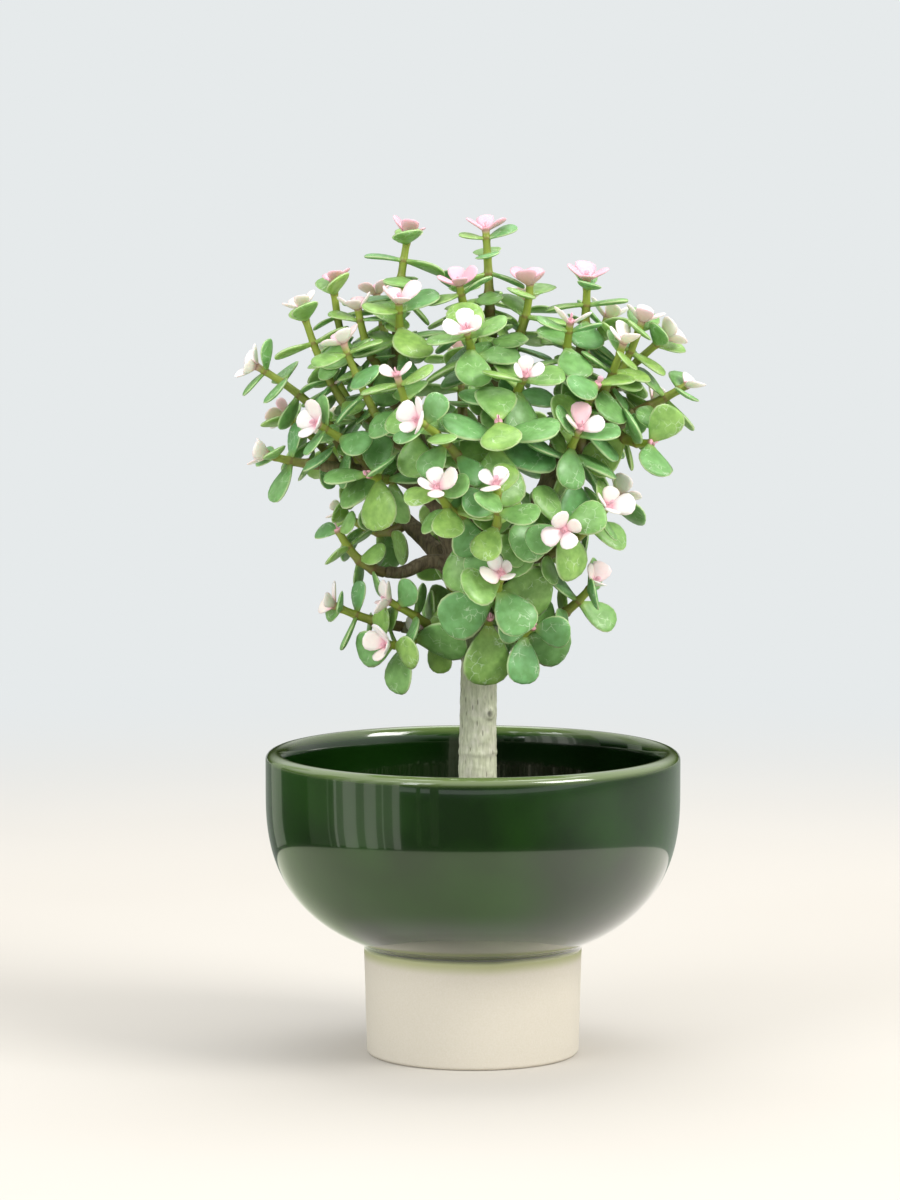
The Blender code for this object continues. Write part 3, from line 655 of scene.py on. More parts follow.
def make_mix(look):
    """A crumbly block of fine mix, with loose grains of pumice, bark and grit pressed into its top."""
    low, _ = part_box("potting_mix")
    edge = BOWL_RADIUS - WALL - MIX_CLEARANCE
    profile = [(30.0, low.z / MM), (34.5, low.z / MM), *SOIL_SEAT, (edge, RIM_HEIGHT - SOIL_DEPTH - 1)]
    profile += [(edge * (1 - step / 26), mix_height(edge * (1 - step / 26))) for step in range(26)]
    block = turned("mix_block", profile, 96)
    crumbs = bpy.data.textures.new("crumbs", "CLOUDS")
    crumbs.noise_scale = 0.004
    top = block.vertex_groups.new(name="top")
    top.add([v.index for v in block.data.vertices if v.co.z > CRUMB_HEIGHT * MM], 1.0, "REPLACE")
    apply(block, "DISPLACE", texture=crumbs, strength=0.0016, texture_coords="LOCAL", vertex_group="top")
    block.data.shade_smooth()
    finish(block, "fine_mix", "potting_mix", "potting_mix")

    deselect()
    bpy.ops.mesh.primitive_ico_sphere_add(subdivisions=2, radius=1.0)
    grain = bpy.context.object
    lumps = bpy.data.textures.new("lumps", "VORONOI")
    lumps.noise_scale = 0.9
    apply(grain, "DISPLACE", texture=lumps, strength=0.55, texture_coords="LOCAL")
    grain.data.attributes.new("tint", "FLOAT", "POINT")
    dice = random.Random(7)
    parts = []
    for _ in range(look.grains):
        far = math.sqrt(dice.uniform((TRUNK_RADIUS + 2) ** 2, (edge - 1.5) ** 2))
        around = dice.uniform(0, 2 * math.pi)
        size = dice.triangular(0.5, 2.6, 0.9)
        at = Vector((far * math.cos(around), far * math.sin(around), mix_height(far) + size * 0.2))
        turn = Euler([dice.uniform(0, math.tau) for _ in range(3)]).to_matrix().to_4x4()
        shape = Matrix.Diagonal((size, size * dice.uniform(0.6, 1.0), size * dice.uniform(0.5, 0.9), 1))
        place = millimetres(Matrix.Translation(at) @ turn @ shape)
        parts.append((grain.data, place, {"tint": dice.random()}))
    grains = joined("mix_grains", parts)
    bpy.data.objects.remove(grain)
    finish(grains, "loose_grains", "potting_mix")


# Trunk and limbs


def smooth_path(points, radii, spacing):
    """Points about spacing apart on a smooth curve through the points, with the radius at each."""
    ends = [points[0] * 2 - points[1], *points, points[-1] * 2 - points[-2]]
    path, widths = [], []
    for i in range(1, len(ends) - 2):
        before, a, b, after = ends[i - 1:i + 3]
        steps = max(2, round((b - a).length / spacing))
        for step in range(steps):
            t = step / steps
            cubic = (a * 2 + (b - before) * t + (before * 2 - a * 5 + b * 4 - after) * t**2
                     + (a * 3 - before - b * 3 + after) * t**3) / 2
            path.append(cubic)
            widths.append(radii[i - 1] + (radii[i] - radii[i - 1]) * t)
    return [*path, points[-1]], [*widths, radii[-1]]


def limb_tube(name, spacing_of_rings, dice):
    """A limb with the swollen rings that old leaf pairs leave, and a slightly uneven girth."""
    stations = limb_path(name)
    path, widths = smooth_path([point for point, _ in stations], [radius for _, radius in stations], 1.2)
    run, next_ring, radii = 0.0, spacing_of_rings * dice.uniform(0.6, 1.0), []
    phase = dice.uniform(0, 6)
    for i, width in enumerate(widths):
        if i:
            run += (path[i] - path[i - 1]).length
        if run > next_ring + 1.5:
            next_ring += spacing_of_rings * dice.uniform(0.8, 1.2)
        ring = 0.10 * math.exp(-((run - next_ring) / 0.8) ** 2)
        radii.append(width * (1 + ring + 0.035 * math.sin(run * 0.45 + phase)))
    return tube(name, path, radii, 16)


def make_tree(look):
    """The trunk and every limb as tubes, fused into one skin, eased at the forks and roughened as bark."""
    dice = random.Random(3)
    stations = trunk_path()
    path, widths = smooth_path([p for p, _ in stations], [r for _, r in stations], 1.0)
    radii = []
    for point, width in zip(path, widths):
        ring = sum(swell * math.exp(-((point.z - at) / half) ** 2) for at, swell, half in TRUNK_RINGS)
        radii.append(width * (1 + ring + 0.012 * math.sin(point.z * 0.5)))
    tubes = [tube("trunk", path, radii, 28)]
    tubes += [limb_tube(name, LIMB_RING_SPACING, dice) for name in LIMBS]

    deselect()
    facing = Vector((0.55, -1, 0.1)).to_track_quat("Z", "Y").to_euler()
    bpy.ops.mesh.primitive_torus_add(
        location=KNOT * MM, rotation=facing, major_radius=1.7 * MM, minor_radius=0.8 * MM,
        major_segments=24, minor_segments=10)
    tubes.append(bpy.context.object)
    deselect()
    for part in tubes:
        part.select_set(True)
    bpy.context.view_layer.objects.active = tubes[0]
    bpy.ops.object.join()
    tree = bpy.context.object
    bpy.ops.object.transform_apply()
    apply(tree, "REMESH", mode="VOXEL", voxel_size=look.voxel * MM)
    apply(tree, "SMOOTH", factor=0.5, iterations=3)
    furrows = bpy.data.textures.new("furrows", "CLOUDS")
    furrows.noise_scale = 0.0035
    furrows.noise_depth = 3
    apply(tree, "DISPLACE", texture=furrows, strength=look.relief * MM, texture_coords="LOCAL")
    tree.data.shade_smooth()
    tree.name = tree.data.name = "tree_bark"
    finish(tree, "succulent_bark", "bark", "trunk_and_limbs")


# Shoots


def leaf_shape(name, rows, cup, curl, segments=12):
    """One fleshy leaf, a unit long: X across, Y out of the upper face, Z from the stalk to the tip.

    A sphere is flattened, each of its rings is set to the leaf's width there, and the leaf is cupped and
    curled.
    """
    deselect()
    bpy.ops.mesh.primitive_uv_sphere_add(segments=segments, ring_count=len(rows) + 1, radius=0.5)
    leaf = bpy.context.object
    bpy.ops.object.mode_set(mode="EDIT")
    total = len(rows) + 1
    for ring, (along, width, thickness) in enumerate(rows, start=1):
        level = -0.5 * math.cos(math.pi * ring / total)
        radius = 0.5 * math.sin(math.pi * ring / total)
        select_where(leaf, lambda co: abs(co.z - level) < 0.004)
        bpy.ops.transform.resize(
            value=(width / 2 / radius, thickness / 2 / radius, 1), center_override=(0, 0, level))
    bpy.ops.mesh.select_all(action="DESELECT")
    bpy.ops.object.mode_set(mode="OBJECT")
    levels = [0.0, *(along for along, _, _ in rows), 1.0]
    halves = [0.001, *(width / 2 for _, width, _ in rows), 0.001]
    marks = {key: leaf.data.attributes.new(key, "FLOAT", "POINT") for key in ("along", "rim", "tint", "pink")}
    for number, vertex in enumerate(leaf.data.vertices):
        ring = round(math.acos(max(-1.0, min(1.0, -2 * vertex.co.z))) / math.pi * total)
        across, t = vertex.co.x, levels[ring]
        marks["along"].data[number].value = t
        marks["rim"].data[number].value = 1.0 if ring == total else abs(across) / halves[ring] * min(1, t * 5)
        vertex.co.z = t
        vertex.co.y += cup * across**2 - curl * t**2
    leaf.data.shade_smooth()
    leaf.name = name
    shape = leaf.data.copy()
    bpy.data.objects.remove(leaf)
    return shape


# Along the leaf, its width and its thickness, each as a share of the length
OBOVATE = [(0.03, 0.15, 0.12), (0.14, 0.30, 0.12), (0.30, 0.54, 0.13), (0.48, 0.72, 0.145),
           (0.64, 0.79, 0.15), (0.79, 0.75, 0.145), (0.90, 0.60, 0.125), (0.97, 0.37, 0.09)]
YOUNG = [(0.04, 0.20, 0.15), (0.20, 0.42, 0.15), (0.40, 0.66, 0.15), (0.60, 0.80, 0.15), (0.80, 0.76, 0.13),
         (0.94, 0.46, 0.09)]


def twig_piece(name, shoot, frames, radii, nodes):
    """The green twig, from inside its limb to its tip, with a brown ring under each pair of leaves."""
    start, _, _ = limb_at(shoot.limb, shoot.along)
    middles = [start, *(frame.translation for frame in frames)]
    widths = [radii[0] * 0.9, *radii]
    path, girth = smooth_path(middles, widths, 0.7)
    length = sum((b - a).length for a, b in pairwise(path))
    joints = [(frames[ring].translation + frames[ring + 1].translation) / 2 for _, ring in nodes]
    run, shares, rings = 0.0, [], []
    for i, point in enumerate(path):
        run += (point - path[i - 1]).length if i else 0.0
        shares.append(run / length)
        near = min(((point - joint).length for joint in joints), default=9.0)
        rings.append(math.exp(-(near / 1.1) ** 2))
    swollen = [width * (1.12 + 0.22 * ring) for width, ring in zip(girth, rings)]
    twig = tube(f"{name}_twig", path, swollen, 10, {"along": shares, "ring": rings})
    twig.data.shade_smooth()
    finish(twig, "fleshy_stem", "green_stem", name)


def leaf_parts(shapes, leaves, dice, growth, uneven):
    """A copy of a leaf shape for each placed leaf, each a little different in size, twist and tint."""
    parts = []
    for leaf in leaves:
        length = leaf.length * growth * dice.uniform(1 - uneven, 1 + uneven)
        twist = Matrix.Rotation(math.radians(dice.uniform(-18, 18)), 4, "Z")
        wide = Matrix.Diagonal((length * dice.uniform(0.98, 1.14), length, length, 1))
        place = leaf_frame(leaf, 1) @ Matrix.Translation((0, 0, -leaf.length - 0.5))
        place = place @ twist @ wide
        shape = dice.choice(shapes)
        sunned = min(1.0, (place.translation.z - SUNNED_FROM) / SUNNED_OVER)
        parts.append((shape, millimetres(place), {"tint": dice.random(), "pink": max(dice.random(), sunned)}))
    return parts


def make_shoots(look):
    """Every shoot: its twig, its green leaves, and the young leaves and bud at its tip."""
    full = [leaf_shape("leaf_flat", OBOVATE, 0.10, 0.04), leaf_shape("leaf_cupped", OBOVATE, 0.28, -0.05),
            leaf_shape("leaf_curled", OBOVATE, 0.14, 0.13)]
    young = [leaf_shape("young_open", YOUNG, 0.25, 0.02, 10),
             leaf_shape("young_cupped", YOUNG, 0.45, -0.12, 10)]
    rings, placed = place_leaves(trunk_path())
    dice = random.Random(11)
    for name, shoot, (frames, radii, nodes), leaves in zip(shoot_names(), SHOOTS, rings, placed):
        twig_piece(name, shoot, frames, radii, nodes)
        grown = [leaf for leaf in leaves if leaf.length >= SMALL_LEAF]
        if grown:
            parts = leaf_parts(full, grown, dice, 1.06, 0.0)
            finish(joined(f"{name}_leaves", parts), "waxy_green_leaf", "leaf")
        fresh = [leaf for leaf in leaves if leaf.length < SMALL_LEAF]
        parts = leaf_parts(young, fresh, dice, 1.16, 0.16)
        tip = frames[-1]
        for turn in (0, 180):
            around = Matrix.Rotation(math.radians(turn + shoot.turn + 90), 4, "Z")
            lean = Matrix.Rotation(math.radians(dice.uniform(14, 26)), 4, "X")
            size = Matrix.Scale(dice.uniform(2.4, 3.4), 4)
            bud = tip @ around @ Matrix.Translation((0, 0.3, -0.2)) @ lean @ size
            parts.append((young[1], millimetres(bud), {"tint": dice.random(), "pink": 1.0}))
        finish(joined(f"{name}_young", parts), "waxy_young_leaf", "young_leaf")
    for shape in (*full, *young):
        bpy.data.meshes.remove(shape)


# Finishes


def linear(code):
    """An sRGB hex colour as linear red, green, blue and alpha."""
    parts = [int(code[i:i + 2], 16) / 255 for i in (1, 3, 5)]
    return (*(c / 12.92 if c <= 0.04045 else ((c + 0.055) / 1.055) ** 2.4 for c in parts), 1.0)


def node(tree, kind, sources, out=0, **settings):
    """Adds a node with its settings. Each input gets a value or a link. Returns the output that is used."""
    added = tree.nodes.new(kind)
    for name, value in settings.items():
        setattr(added, name, value)
    for key, source in sources.items():
        if isinstance(source, bpy.types.NodeSocket):
            tree.links.new(source, added.inputs[key])
        else:
            added.inputs[key].default_value = source
    return added.outputs[out]


def new_finish(name):
    """A new material: its node tree, its shader, and the place on the piece."""
    made = bpy.data.materials.new(name)
    made.use_nodes = True
    tree = made.node_tree
    return tree, tree.nodes["Principled BSDF"], node(tree, "ShaderNodeTexCoord", {}, out="Object")


def glazed_stoneware(look):
    """Thrown stoneware, dipped in a glossy copper-green glaze down to the top of its foot.

    The glaze is deep where it pools at the foot's corner. On the inner wall above the mix it carries painted
    light
    and shade: paler on the left, and a painted shade on the right that is nearly black below the lip. Over
    the lip it is paler and olive, partly glaze breaking thin and partly a painted highlight. Its edge soaks
    into the clay as a soft yellow-green line. Below that is bare, matt cream clay with fine sand in it.
    """
    tree, shader, place = new_finish("green_glazed_stoneware")
    height = node(tree, "ShaderNodeSeparateXYZ", {"Vector": place}, out="Z")
    waves = node(tree, "ShaderNodeTexNoise", {"Vector": place, "Scale": 38.0, "Detail": 2.0})
    edge = node(tree, "ShaderNodeMath", {0: waves, 1: 0.0016, 2: height}, operation="MULTIPLY_ADD")
    line = look.glaze_line * MM + 0.0008
    rim = RIM_HEIGHT * MM
    glassy = node(tree, "ShaderNodeMapRange", {
        "Value": edge, "From Min": line - 0.0006, "From Max": line + 0.0010}, interpolation_type="SMOOTHSTEP")
    deep = node(tree, "ShaderNodeMapRange", {
        "Value": edge, "From Min": line - 0.0004, "From Max": line + 0.0024}, interpolation_type="SMOOTHSTEP")
    soaked = node(tree, "ShaderNodeMapRange", {
        "Value": edge, "From Min": line - 0.0050, "From Max": line}, interpolation_type="SMOOTHSTEP")
    sand = node(tree, "ShaderNodeTexNoise", {"Vector": place, "Scale": 1400.0, "Detail": 2.0})
    clay = node(tree, "ShaderNodeMix", {0: sand, 6: look.clay, 7: look.clay_shade}, out=2, data_type="RGBA")
    clay = node(tree, "ShaderNodeMix", {0: soaked, 6: clay, 7: look.glaze_edge}, out=2, data_type="RGBA")
    drift = node(tree, "ShaderNodeTexNoise", {"Vector": place, "Scale": 22.0, "Detail": 3.0})
    drift = node(tree, "ShaderNodeMapRange", {"Value": drift, "From Min": 0.35, "From Max": 0.68})
    glaze = node(tree, "ShaderNodeMix", {0: drift, 6: look.glaze, 7: look.glaze_light},
                 out=2, data_type="RGBA")
    pooled = node(tree, "ShaderNodeMapRange", {
        "Value": height, "From Min": FOOT_HEIGHT * MM + 0.007, "From Max": FOOT_HEIGHT * MM + 0.0005},
        interpolation_type="SMOOTHSTEP")
    glaze = node(tree, "ShaderNodeMix", {0: pooled, 6: glaze, 7: look.glaze}, out=2, data_type="RGBA")
    flat = node(tree, "ShaderNodeVectorMath", {0: place, 1: (1.0, 1.0, 0.0)},
                out="Vector", operation="MULTIPLY")
    around = node(tree, "ShaderNodeVectorMath", {0: flat}, out="Value", operation="LENGTH")
    # Painted light and shade on the inner wall above the mix: paler on the left, and painted shade on the
    # right below the lip, nearly black.
    inner = node(tree, "ShaderNodeMapRange", {
        "Value": around, "From Min": (BOWL_RADIUS - 0.6 * WALL) * MM,
        "From Max": (BOWL_RADIUS - 0.9 * WALL) * MM})
    high = node(tree, "ShaderNodeMapRange", {"Value": height, "From Min": 0.080, "From Max": 0.086})
    inside = node(tree, "ShaderNodeMath", {0: inner, 1: high}, operation="MULTIPLY")
    across = node(tree, "ShaderNodeSeparateXYZ", {"Vector": place}, out="X")
    painted_shade_side = node(tree, "ShaderNodeMapRange", {
        "Value": across, "From Min": -0.075, "From Max": 0.010}, interpolation_type="SMOOTHSTEP")
    under_lip = node(tree, "ShaderNodeMapRange", {
        "Value": height, "From Min": rim - 0.0022, "From Max": rim - 0.0065}, interpolation_type="SMOOTHSTEP")
    # thick is the painted shade mask: the right of the inner wall, below the lip.
    thick = node(tree, "ShaderNodeMath", {0: painted_shade_side, 1: under_lip}, operation="MULTIPLY")
    painted_inside_light = node(tree, "ShaderNodeMix", {0: thick, 6: look.glaze_inside_painted_lit, 7: look.glaze_painted_shade}, out=2,
                  data_type="RGBA")
    glaze = node(tree, "ShaderNodeMix", {0: inside, 6: glaze, 7: painted_inside_light}, out=2, data_type="RGBA")
    # The lip is painted paler and olive all round: partly glaze breaking thin, partly a painted highlight.
    over_lip = node(tree, "ShaderNodeMapRange", {
        "Value": height, "From Min": rim - 0.0042, "From Max": rim - 0.0012, "To Max": 0.42},
        interpolation_type="SMOOTHSTEP")
    glaze = node(tree, "ShaderNodeMix", {0: over_lip, 6: glaze, 7: look.glaze_thin_and_highlight}, out=2, data_type="RGBA")
    fade = node(tree, "ShaderNodeMix", {0: deep, 6: look.glaze_edge, 7: glaze}, out=2, data_type="RGBA")
    colour = node(tree, "ShaderNodeMix", {0: glassy, 6: clay, 7: fade}, out=2, data_type="RGBA")
    tree.links.new(colour, shader.inputs["Base Color"])
    rough = node(tree, "ShaderNodeMapRange", {"Value": glassy, "To Min": 0.82, "To Max": 0.12})
    tree.links.new(rough, shader.inputs["Roughness"])
    tree.links.new(glassy, shader.inputs["Coat Weight"])
    shader.inputs["IOR"].default_value = 1.55
    shader.inputs["Coat Roughness"].default_value = 0.03
    shader.inputs["Coat IOR"].default_value = 1.55
    ripple = node(tree, "ShaderNodeTexNoise", {"Vector": place, "Scale": 45.0, "Detail": 1.0})
    grain = node(tree, "ShaderNodeMix", {0: glassy, 2: sand, 3: ripple}, data_type="FLOAT")
    relief = node(tree, "ShaderNodeBump", {"Height": grain, "Strength": 0.12, "Distance": 0.0005})
    tree.links.new(relief, shader.inputs["Normal"])


def bark(look):
    """Living succulent bark: smooth, dull and grey-green on the trunk with beige scurf, dark pores and faint
    upright streaks, and purplish brown on the limbs, turning olive where they are young."""
    tree, shader, place = new_finish("succulent_bark")
    stretched = node(tree, "ShaderNodeMapping", {"Vector": place, "Scale": (1.0, 1.0, 0.22)})
    streaks = node(tree, "ShaderNodeTexNoise", {"Vector": stretched, "Scale": 900.0, "Detail": 4.0})
    streaks = node(tree, "ShaderNodeMapRange", {"Value": streaks, "From Min": 0.36, "From Max": 0.66})
    patches = node(tree, "ShaderNodeTexNoise", {"Vector": place, "Scale": 190.0, "Detail": 4.0})
    patches = node(tree, "ShaderNodeMapRange", {"Value": patches, "From Min": 0.42, "From Max": 0.62})
    trunk = node(tree, "ShaderNodeMix", {0: patches, 6: look.trunk, 7: look.scurf}, out=2, data_type="RGBA")
    trunk = node(tree, "ShaderNodeMix", {0: streaks, 6: trunk, 7: look.trunk_shade}, out=2, data_type="RGBA")
    pores = node(tree, "ShaderNodeTexVoronoi", {"Vector": stretched, "Scale": 620.0})
    pores = node(tree, "ShaderNodeMapRange", {
        "Value": pores, "From Min": 0.22, "From Max": 0.12, "To Max": 0.75})
    fork = node(tree, "ShaderNodeVectorMath", {0: place, 1: TREE_FORKS * MM},
                out="Value", operation="DISTANCE")
    height = node(tree, "ShaderNodeSeparateXYZ", {"Vector": place}, out="Z")
    above = node(tree, "ShaderNodeMapRange", {"Value": height, "From Min": 0.155, "From Max": 0.186})
    limbs = node(tree, "ShaderNodeMix", {0: streaks, 6: look.limb, 7: look.limb_shade},
                 out=2, data_type="RGBA")
    outer = node(tree, "ShaderNodeMapRange", {
        "Value": fork, "From Min": 0.075, "From Max": 0.15, "To Max": 0.8})
    limbs = node(tree, "ShaderNodeMix", {0: outer, 6: limbs, 7: look.young_limb}, out=2, data_type="RGBA")
    wide = node(tree, "ShaderNodeMapRange", {"Value": fork, "From Min": 0.018, "From Max": 0.034})
    upper = node(tree, "ShaderNodeMath", {0: above, 1: wide}, operation="MULTIPLY")
    colour = node(tree, "ShaderNodeMix", {0: upper, 6: trunk, 7: limbs}, out=2, data_type="RGBA")
    colour = node(tree, "ShaderNodeMix", {0: pores, 6: colour, 7: look.pore}, out=2, data_type="RGBA")
    scar = node(tree, "ShaderNodeVectorMath", {0: place, 1: KNOT_HOLLOW * MM},
                out="Value", operation="DISTANCE")
    scar = node(tree, "ShaderNodeMapRange", {
        "Value": scar, "From Min": 0.0019, "From Max": 0.0008, "To Max": 0.85},
        interpolation_type="SMOOTHSTEP")
    colour = node(tree, "ShaderNodeMix", {0: scar, 6: colour, 7: look.knot}, out=2, data_type="RGBA")
    tree.links.new(colour, shader.inputs["Base Color"])
    shader.inputs["Roughness"].default_value = 0.72
    relief = node(tree, "ShaderNodeBump", {"Height": streaks, "Strength": 0.35, "Distance": 0.0004})
    tree.links.new(relief, shader.inputs["Normal"])


def leaf(look):
    """A succulent leaf: thick, smooth and waxy, blue-green to grass green from leaf to leaf.

    It has a thin paler rim, a yellower stalk, faint mottling, and fine white marks that are partly scratch
    marks in its waxy coat and partly a painted sheen.
    """
    tree, shader, place = new_finish("waxy_green_leaf")
    tint = node(tree, "ShaderNodeAttribute", {}, out="Fac", attribute_name="tint")
    rim = node(tree, "ShaderNodeAttribute", {}, out="Fac", attribute_name="rim")
    along = node(tree, "ShaderNodeAttribute", {}, out="Fac", attribute_name="along")
    mottle = node(tree, "ShaderNodeTexNoise", {"Vector": place, "Scale": 260.0, "Detail": 4.0})
    mottle = node(tree, "ShaderNodeMapRange", {"Value": mottle, "From Min": 0.35, "From Max": 0.65})
    green = node(tree, "ShaderNodeMix", {0: tint, 6: look.leaf_blue, 7: look.leaf_grass},
                 out=2, data_type="RGBA")
    dark = node(tree, "ShaderNodeMath", {0: mottle, 1: 0.45}, operation="MULTIPLY")
    green = node(tree, "ShaderNodeMix", {0: dark, 6: green, 7: look.leaf_shade}, out=2, data_type="RGBA")
    stalk = node(tree, "ShaderNodeMapRange", {
        "Value": along, "From Min": 0.30, "From Max": 0.0, "To Max": 0.6}, interpolation_type="SMOOTHSTEP")
    green = node(tree, "ShaderNodeMix", {0: stalk, 6: green, 7: look.leaf_base}, out=2, data_type="RGBA")
    bent = node(tree, "ShaderNodeTexNoise", {"Vector": place, "Scale": 420.0, "Detail": 2.0}, out="Color")
    bent = node(tree, "ShaderNodeVectorMath", {0: bent, 1: (0.0022, 0.0022, 0.0022), 2: place},
                operation="MULTIPLY_ADD")
    # Fine white lines in patches: partly scratch marks in the waxy coat, partly a painted sheen.
    fine_lines = node(tree, "ShaderNodeTexVoronoi", {"Vector": bent, "Scale": 260.0}, feature="DISTANCE_TO_EDGE")
    fine_lines = node(tree, "ShaderNodeMapRange", {"Value": fine_lines, "From Min": 0.045, "From Max": 0.015})
    where = node(tree, "ShaderNodeTexNoise", {"Vector": place, "Scale": 170.0, "Detail": 1.0})
    where = node(tree, "ShaderNodeMapRange", {
        "Value": where, "From Min": 0.52, "From Max": 0.64, "To Max": 0.45})
    scratches_and_sheen = node(tree, "ShaderNodeMath", {0: fine_lines, 1: where}, operation="MULTIPLY")
    green = node(tree, "ShaderNodeMix", {0: scratches_and_sheen, 6: green, 7: look.wax_and_sheen}, out=2, data_type="RGBA")
    edge = node(tree, "ShaderNodeMapRange", {
        "Value": rim, "From Min": 0.88, "From Max": 0.99, "To Max": 0.85}, interpolation_type="SMOOTHSTEP")
    colour = node(tree, "ShaderNodeMix", {0: edge, 6: green, 7: look.leaf_rim}, out=2, data_type="RGBA")
    tree.links.new(colour, shader.inputs["Base Color"])
    rough = node(tree, "ShaderNodeMapRange", {"Value": mottle, "To Min": 0.3, "To Max": 0.44})
    tree.links.new(rough, shader.inputs["Roughness"])
    shader.inputs["IOR"].default_value = 1.45
    shader.inputs["Subsurface Weight"].default_value = 0.12
    shader.inputs["Subsurface Radius"].default_value = (0.4, 1.0, 0.2)
    shader.inputs["Subsurface Scale"].default_value = 0.0015
    relief = node(tree, "ShaderNodeBump", {"Height": mottle, "Strength": 0.15, "Distance": 0.0003})
    tree.links.new(relief, shader.inputs["Normal"])


def young_leaf(look):
    """A new leaf of the variegated plant, with hardly any green in it.

    It is waxy white, blushed pink at its stalk and rim, some leaves far more than others.
    """
    tree, shader, place = new_finish("waxy_young_leaf")
    tint = node(tree, "ShaderNodeAttribute", {}, out="Fac", attribute_name="tint")
    pink = node(tree, "ShaderNodeAttribute", {}, out="Fac", attribute_name="pink")
    along = node(tree, "ShaderNodeAttribute", {}, out="Fac", attribute_name="along")
    rim = node(tree, "ShaderNodeAttribute", {}, out="Fac", attribute_name="rim")
    base = node(tree, "ShaderNodeMix", {0: tint, 6: look.young_white, 7: look.young_cream},
                out=2, data_type="RGBA")
    blush = node(tree, "ShaderNodeMapRange", {
        "Value": along, "From Min": 0.48, "From Max": 0.05}, interpolation_type="SMOOTHSTEP")
    overall = node(tree, "ShaderNodeMapRange", {
        "Value": pink, "From Min": 0.68, "From Max": 1.0, "To Max": 0.72})
    blush = node(tree, "ShaderNodeMath", {0: blush, 1: 0.72}, operation="MULTIPLY")
    blush = node(tree, "ShaderNodeMath", {0: blush, 1: overall}, operation="MAXIMUM")
    line = node(tree, "ShaderNodeMapRange", {"Value": rim, "From Min": 0.8, "From Max": 1.0, "To Max": 0.22})
    blush = node(tree, "ShaderNodeMath", {0: blush, 1: line}, operation="MAXIMUM")
    colour = node(tree, "ShaderNodeMix", {0: blush, 6: base, 7: look.young_pink}, out=2, data_type="RGBA")
    veins = node(tree, "ShaderNodeTexNoise", {"Vector": place, "Scale": 700.0, "Detail": 2.0})
    faint = node(tree, "ShaderNodeMapRange", {
        "Value": veins, "From Min": 0.5, "From Max": 0.75, "To Max": 0.12})
    colour = node(tree, "ShaderNodeMix", {0: faint, 6: colour, 7: look.young_pink}, out=2, data_type="RGBA")
    tree.links.new(colour, shader.inputs["Base Color"])
    shader.inputs["Roughness"].default_value = 0.42
    shader.inputs["IOR"].default_value = 1.42
    shader.inputs["Subsurface Weight"].default_value = 0.25
    shader.inputs["Subsurface Radius"].default_value = (1.0, 0.7, 0.6)
    shader.inputs["Subsurface Scale"].default_value = 0.0015
    relief = node(tree, "ShaderNodeBump", {"Height": veins, "Strength": 0.1, "Distance": 0.0002})
    tree.links.new(relief, shader.inputs["Normal"])


def green_stem(look):
    """A fleshy new stem: olive green at its tip and browner towards the limb.

    It has a corky brown ring where each pair of leaves sits.
    """
    tree, shader, place = new_finish("fleshy_stem")
    along = node(tree, "ShaderNodeAttribute", {}, out="Fac", attribute_name="along")
    ring = node(tree, "ShaderNodeAttribute", {}, out="Fac", attribute_name="ring")
    mottle = node(tree, "ShaderNodeTexNoise", {"Vector": place, "Scale": 420.0, "Detail": 4.0})
    mixed = node(tree, "ShaderNodeMath", {0: mottle, 1: 0.5, 2: along}, operation="MULTIPLY_ADD")
    ripe = node(tree, "ShaderNodeMapRange", {"Value": mixed, "From Min": 0.30, "From Max": 0.95})
    colour = node(tree, "ShaderNodeMix", {0: ripe, 6: look.stem_old, 7: look.stem_green},
                  out=2, data_type="RGBA")
    tip = node(tree, "ShaderNodeMapRange", {"Value": along, "From Min": 0.93, "From Max": 0.99})
    colour = node(tree, "ShaderNodeMix", {0: tip, 6: colour, 7: look.stem_tip}, out=2, data_type="RGBA")
    cork = node(tree, "ShaderNodeMapRange", {
        "Value": ring, "From Min": 0.45, "From Max": 0.95, "To Max": 0.6})
    colour = node(tree, "ShaderNodeMix", {0: cork, 6: colour, 7: look.stem_ring}, out=2, data_type="RGBA")
    tree.links.new(colour, shader.inputs["Base Color"])
    shader.inputs["Roughness"].default_value = 0.42
    relief = node(tree, "ShaderNodeBump", {"Height": mottle, "Strength": 0.3, "Distance": 0.0003})
    tree.links.new(relief, shader.inputs["Normal"])


def fine_mix(look):
    """Sifted peat and coir: nearly black when damp, with rusty fibres and no shine."""
    tree, shader, place = new_finish("fine_mix")
    crumbs = node(tree, "ShaderNodeTexNoise", {
        "Vector": place, "Scale": 520.0, "Detail": 6.0, "Roughness": 0.7})
    spread = node(tree, "ShaderNodeMapRange", {"Value": crumbs, "From Min": 0.36, "From Max": 0.7})
    colour = node(tree, "ShaderNodeMix", {0: spread, 6: look.peat, 7: look.coir}, out=2, data_type="RGBA")
    tree.links.new(colour, shader.inputs["Base Color"])
    shader.inputs["Roughness"].default_value = 0.95
    relief = node(tree, "ShaderNodeBump", {"Height": crumbs, "Strength": 0.9, "Distance": 0.0009})
    tree.links.new(relief, shader.inputs["Normal"])


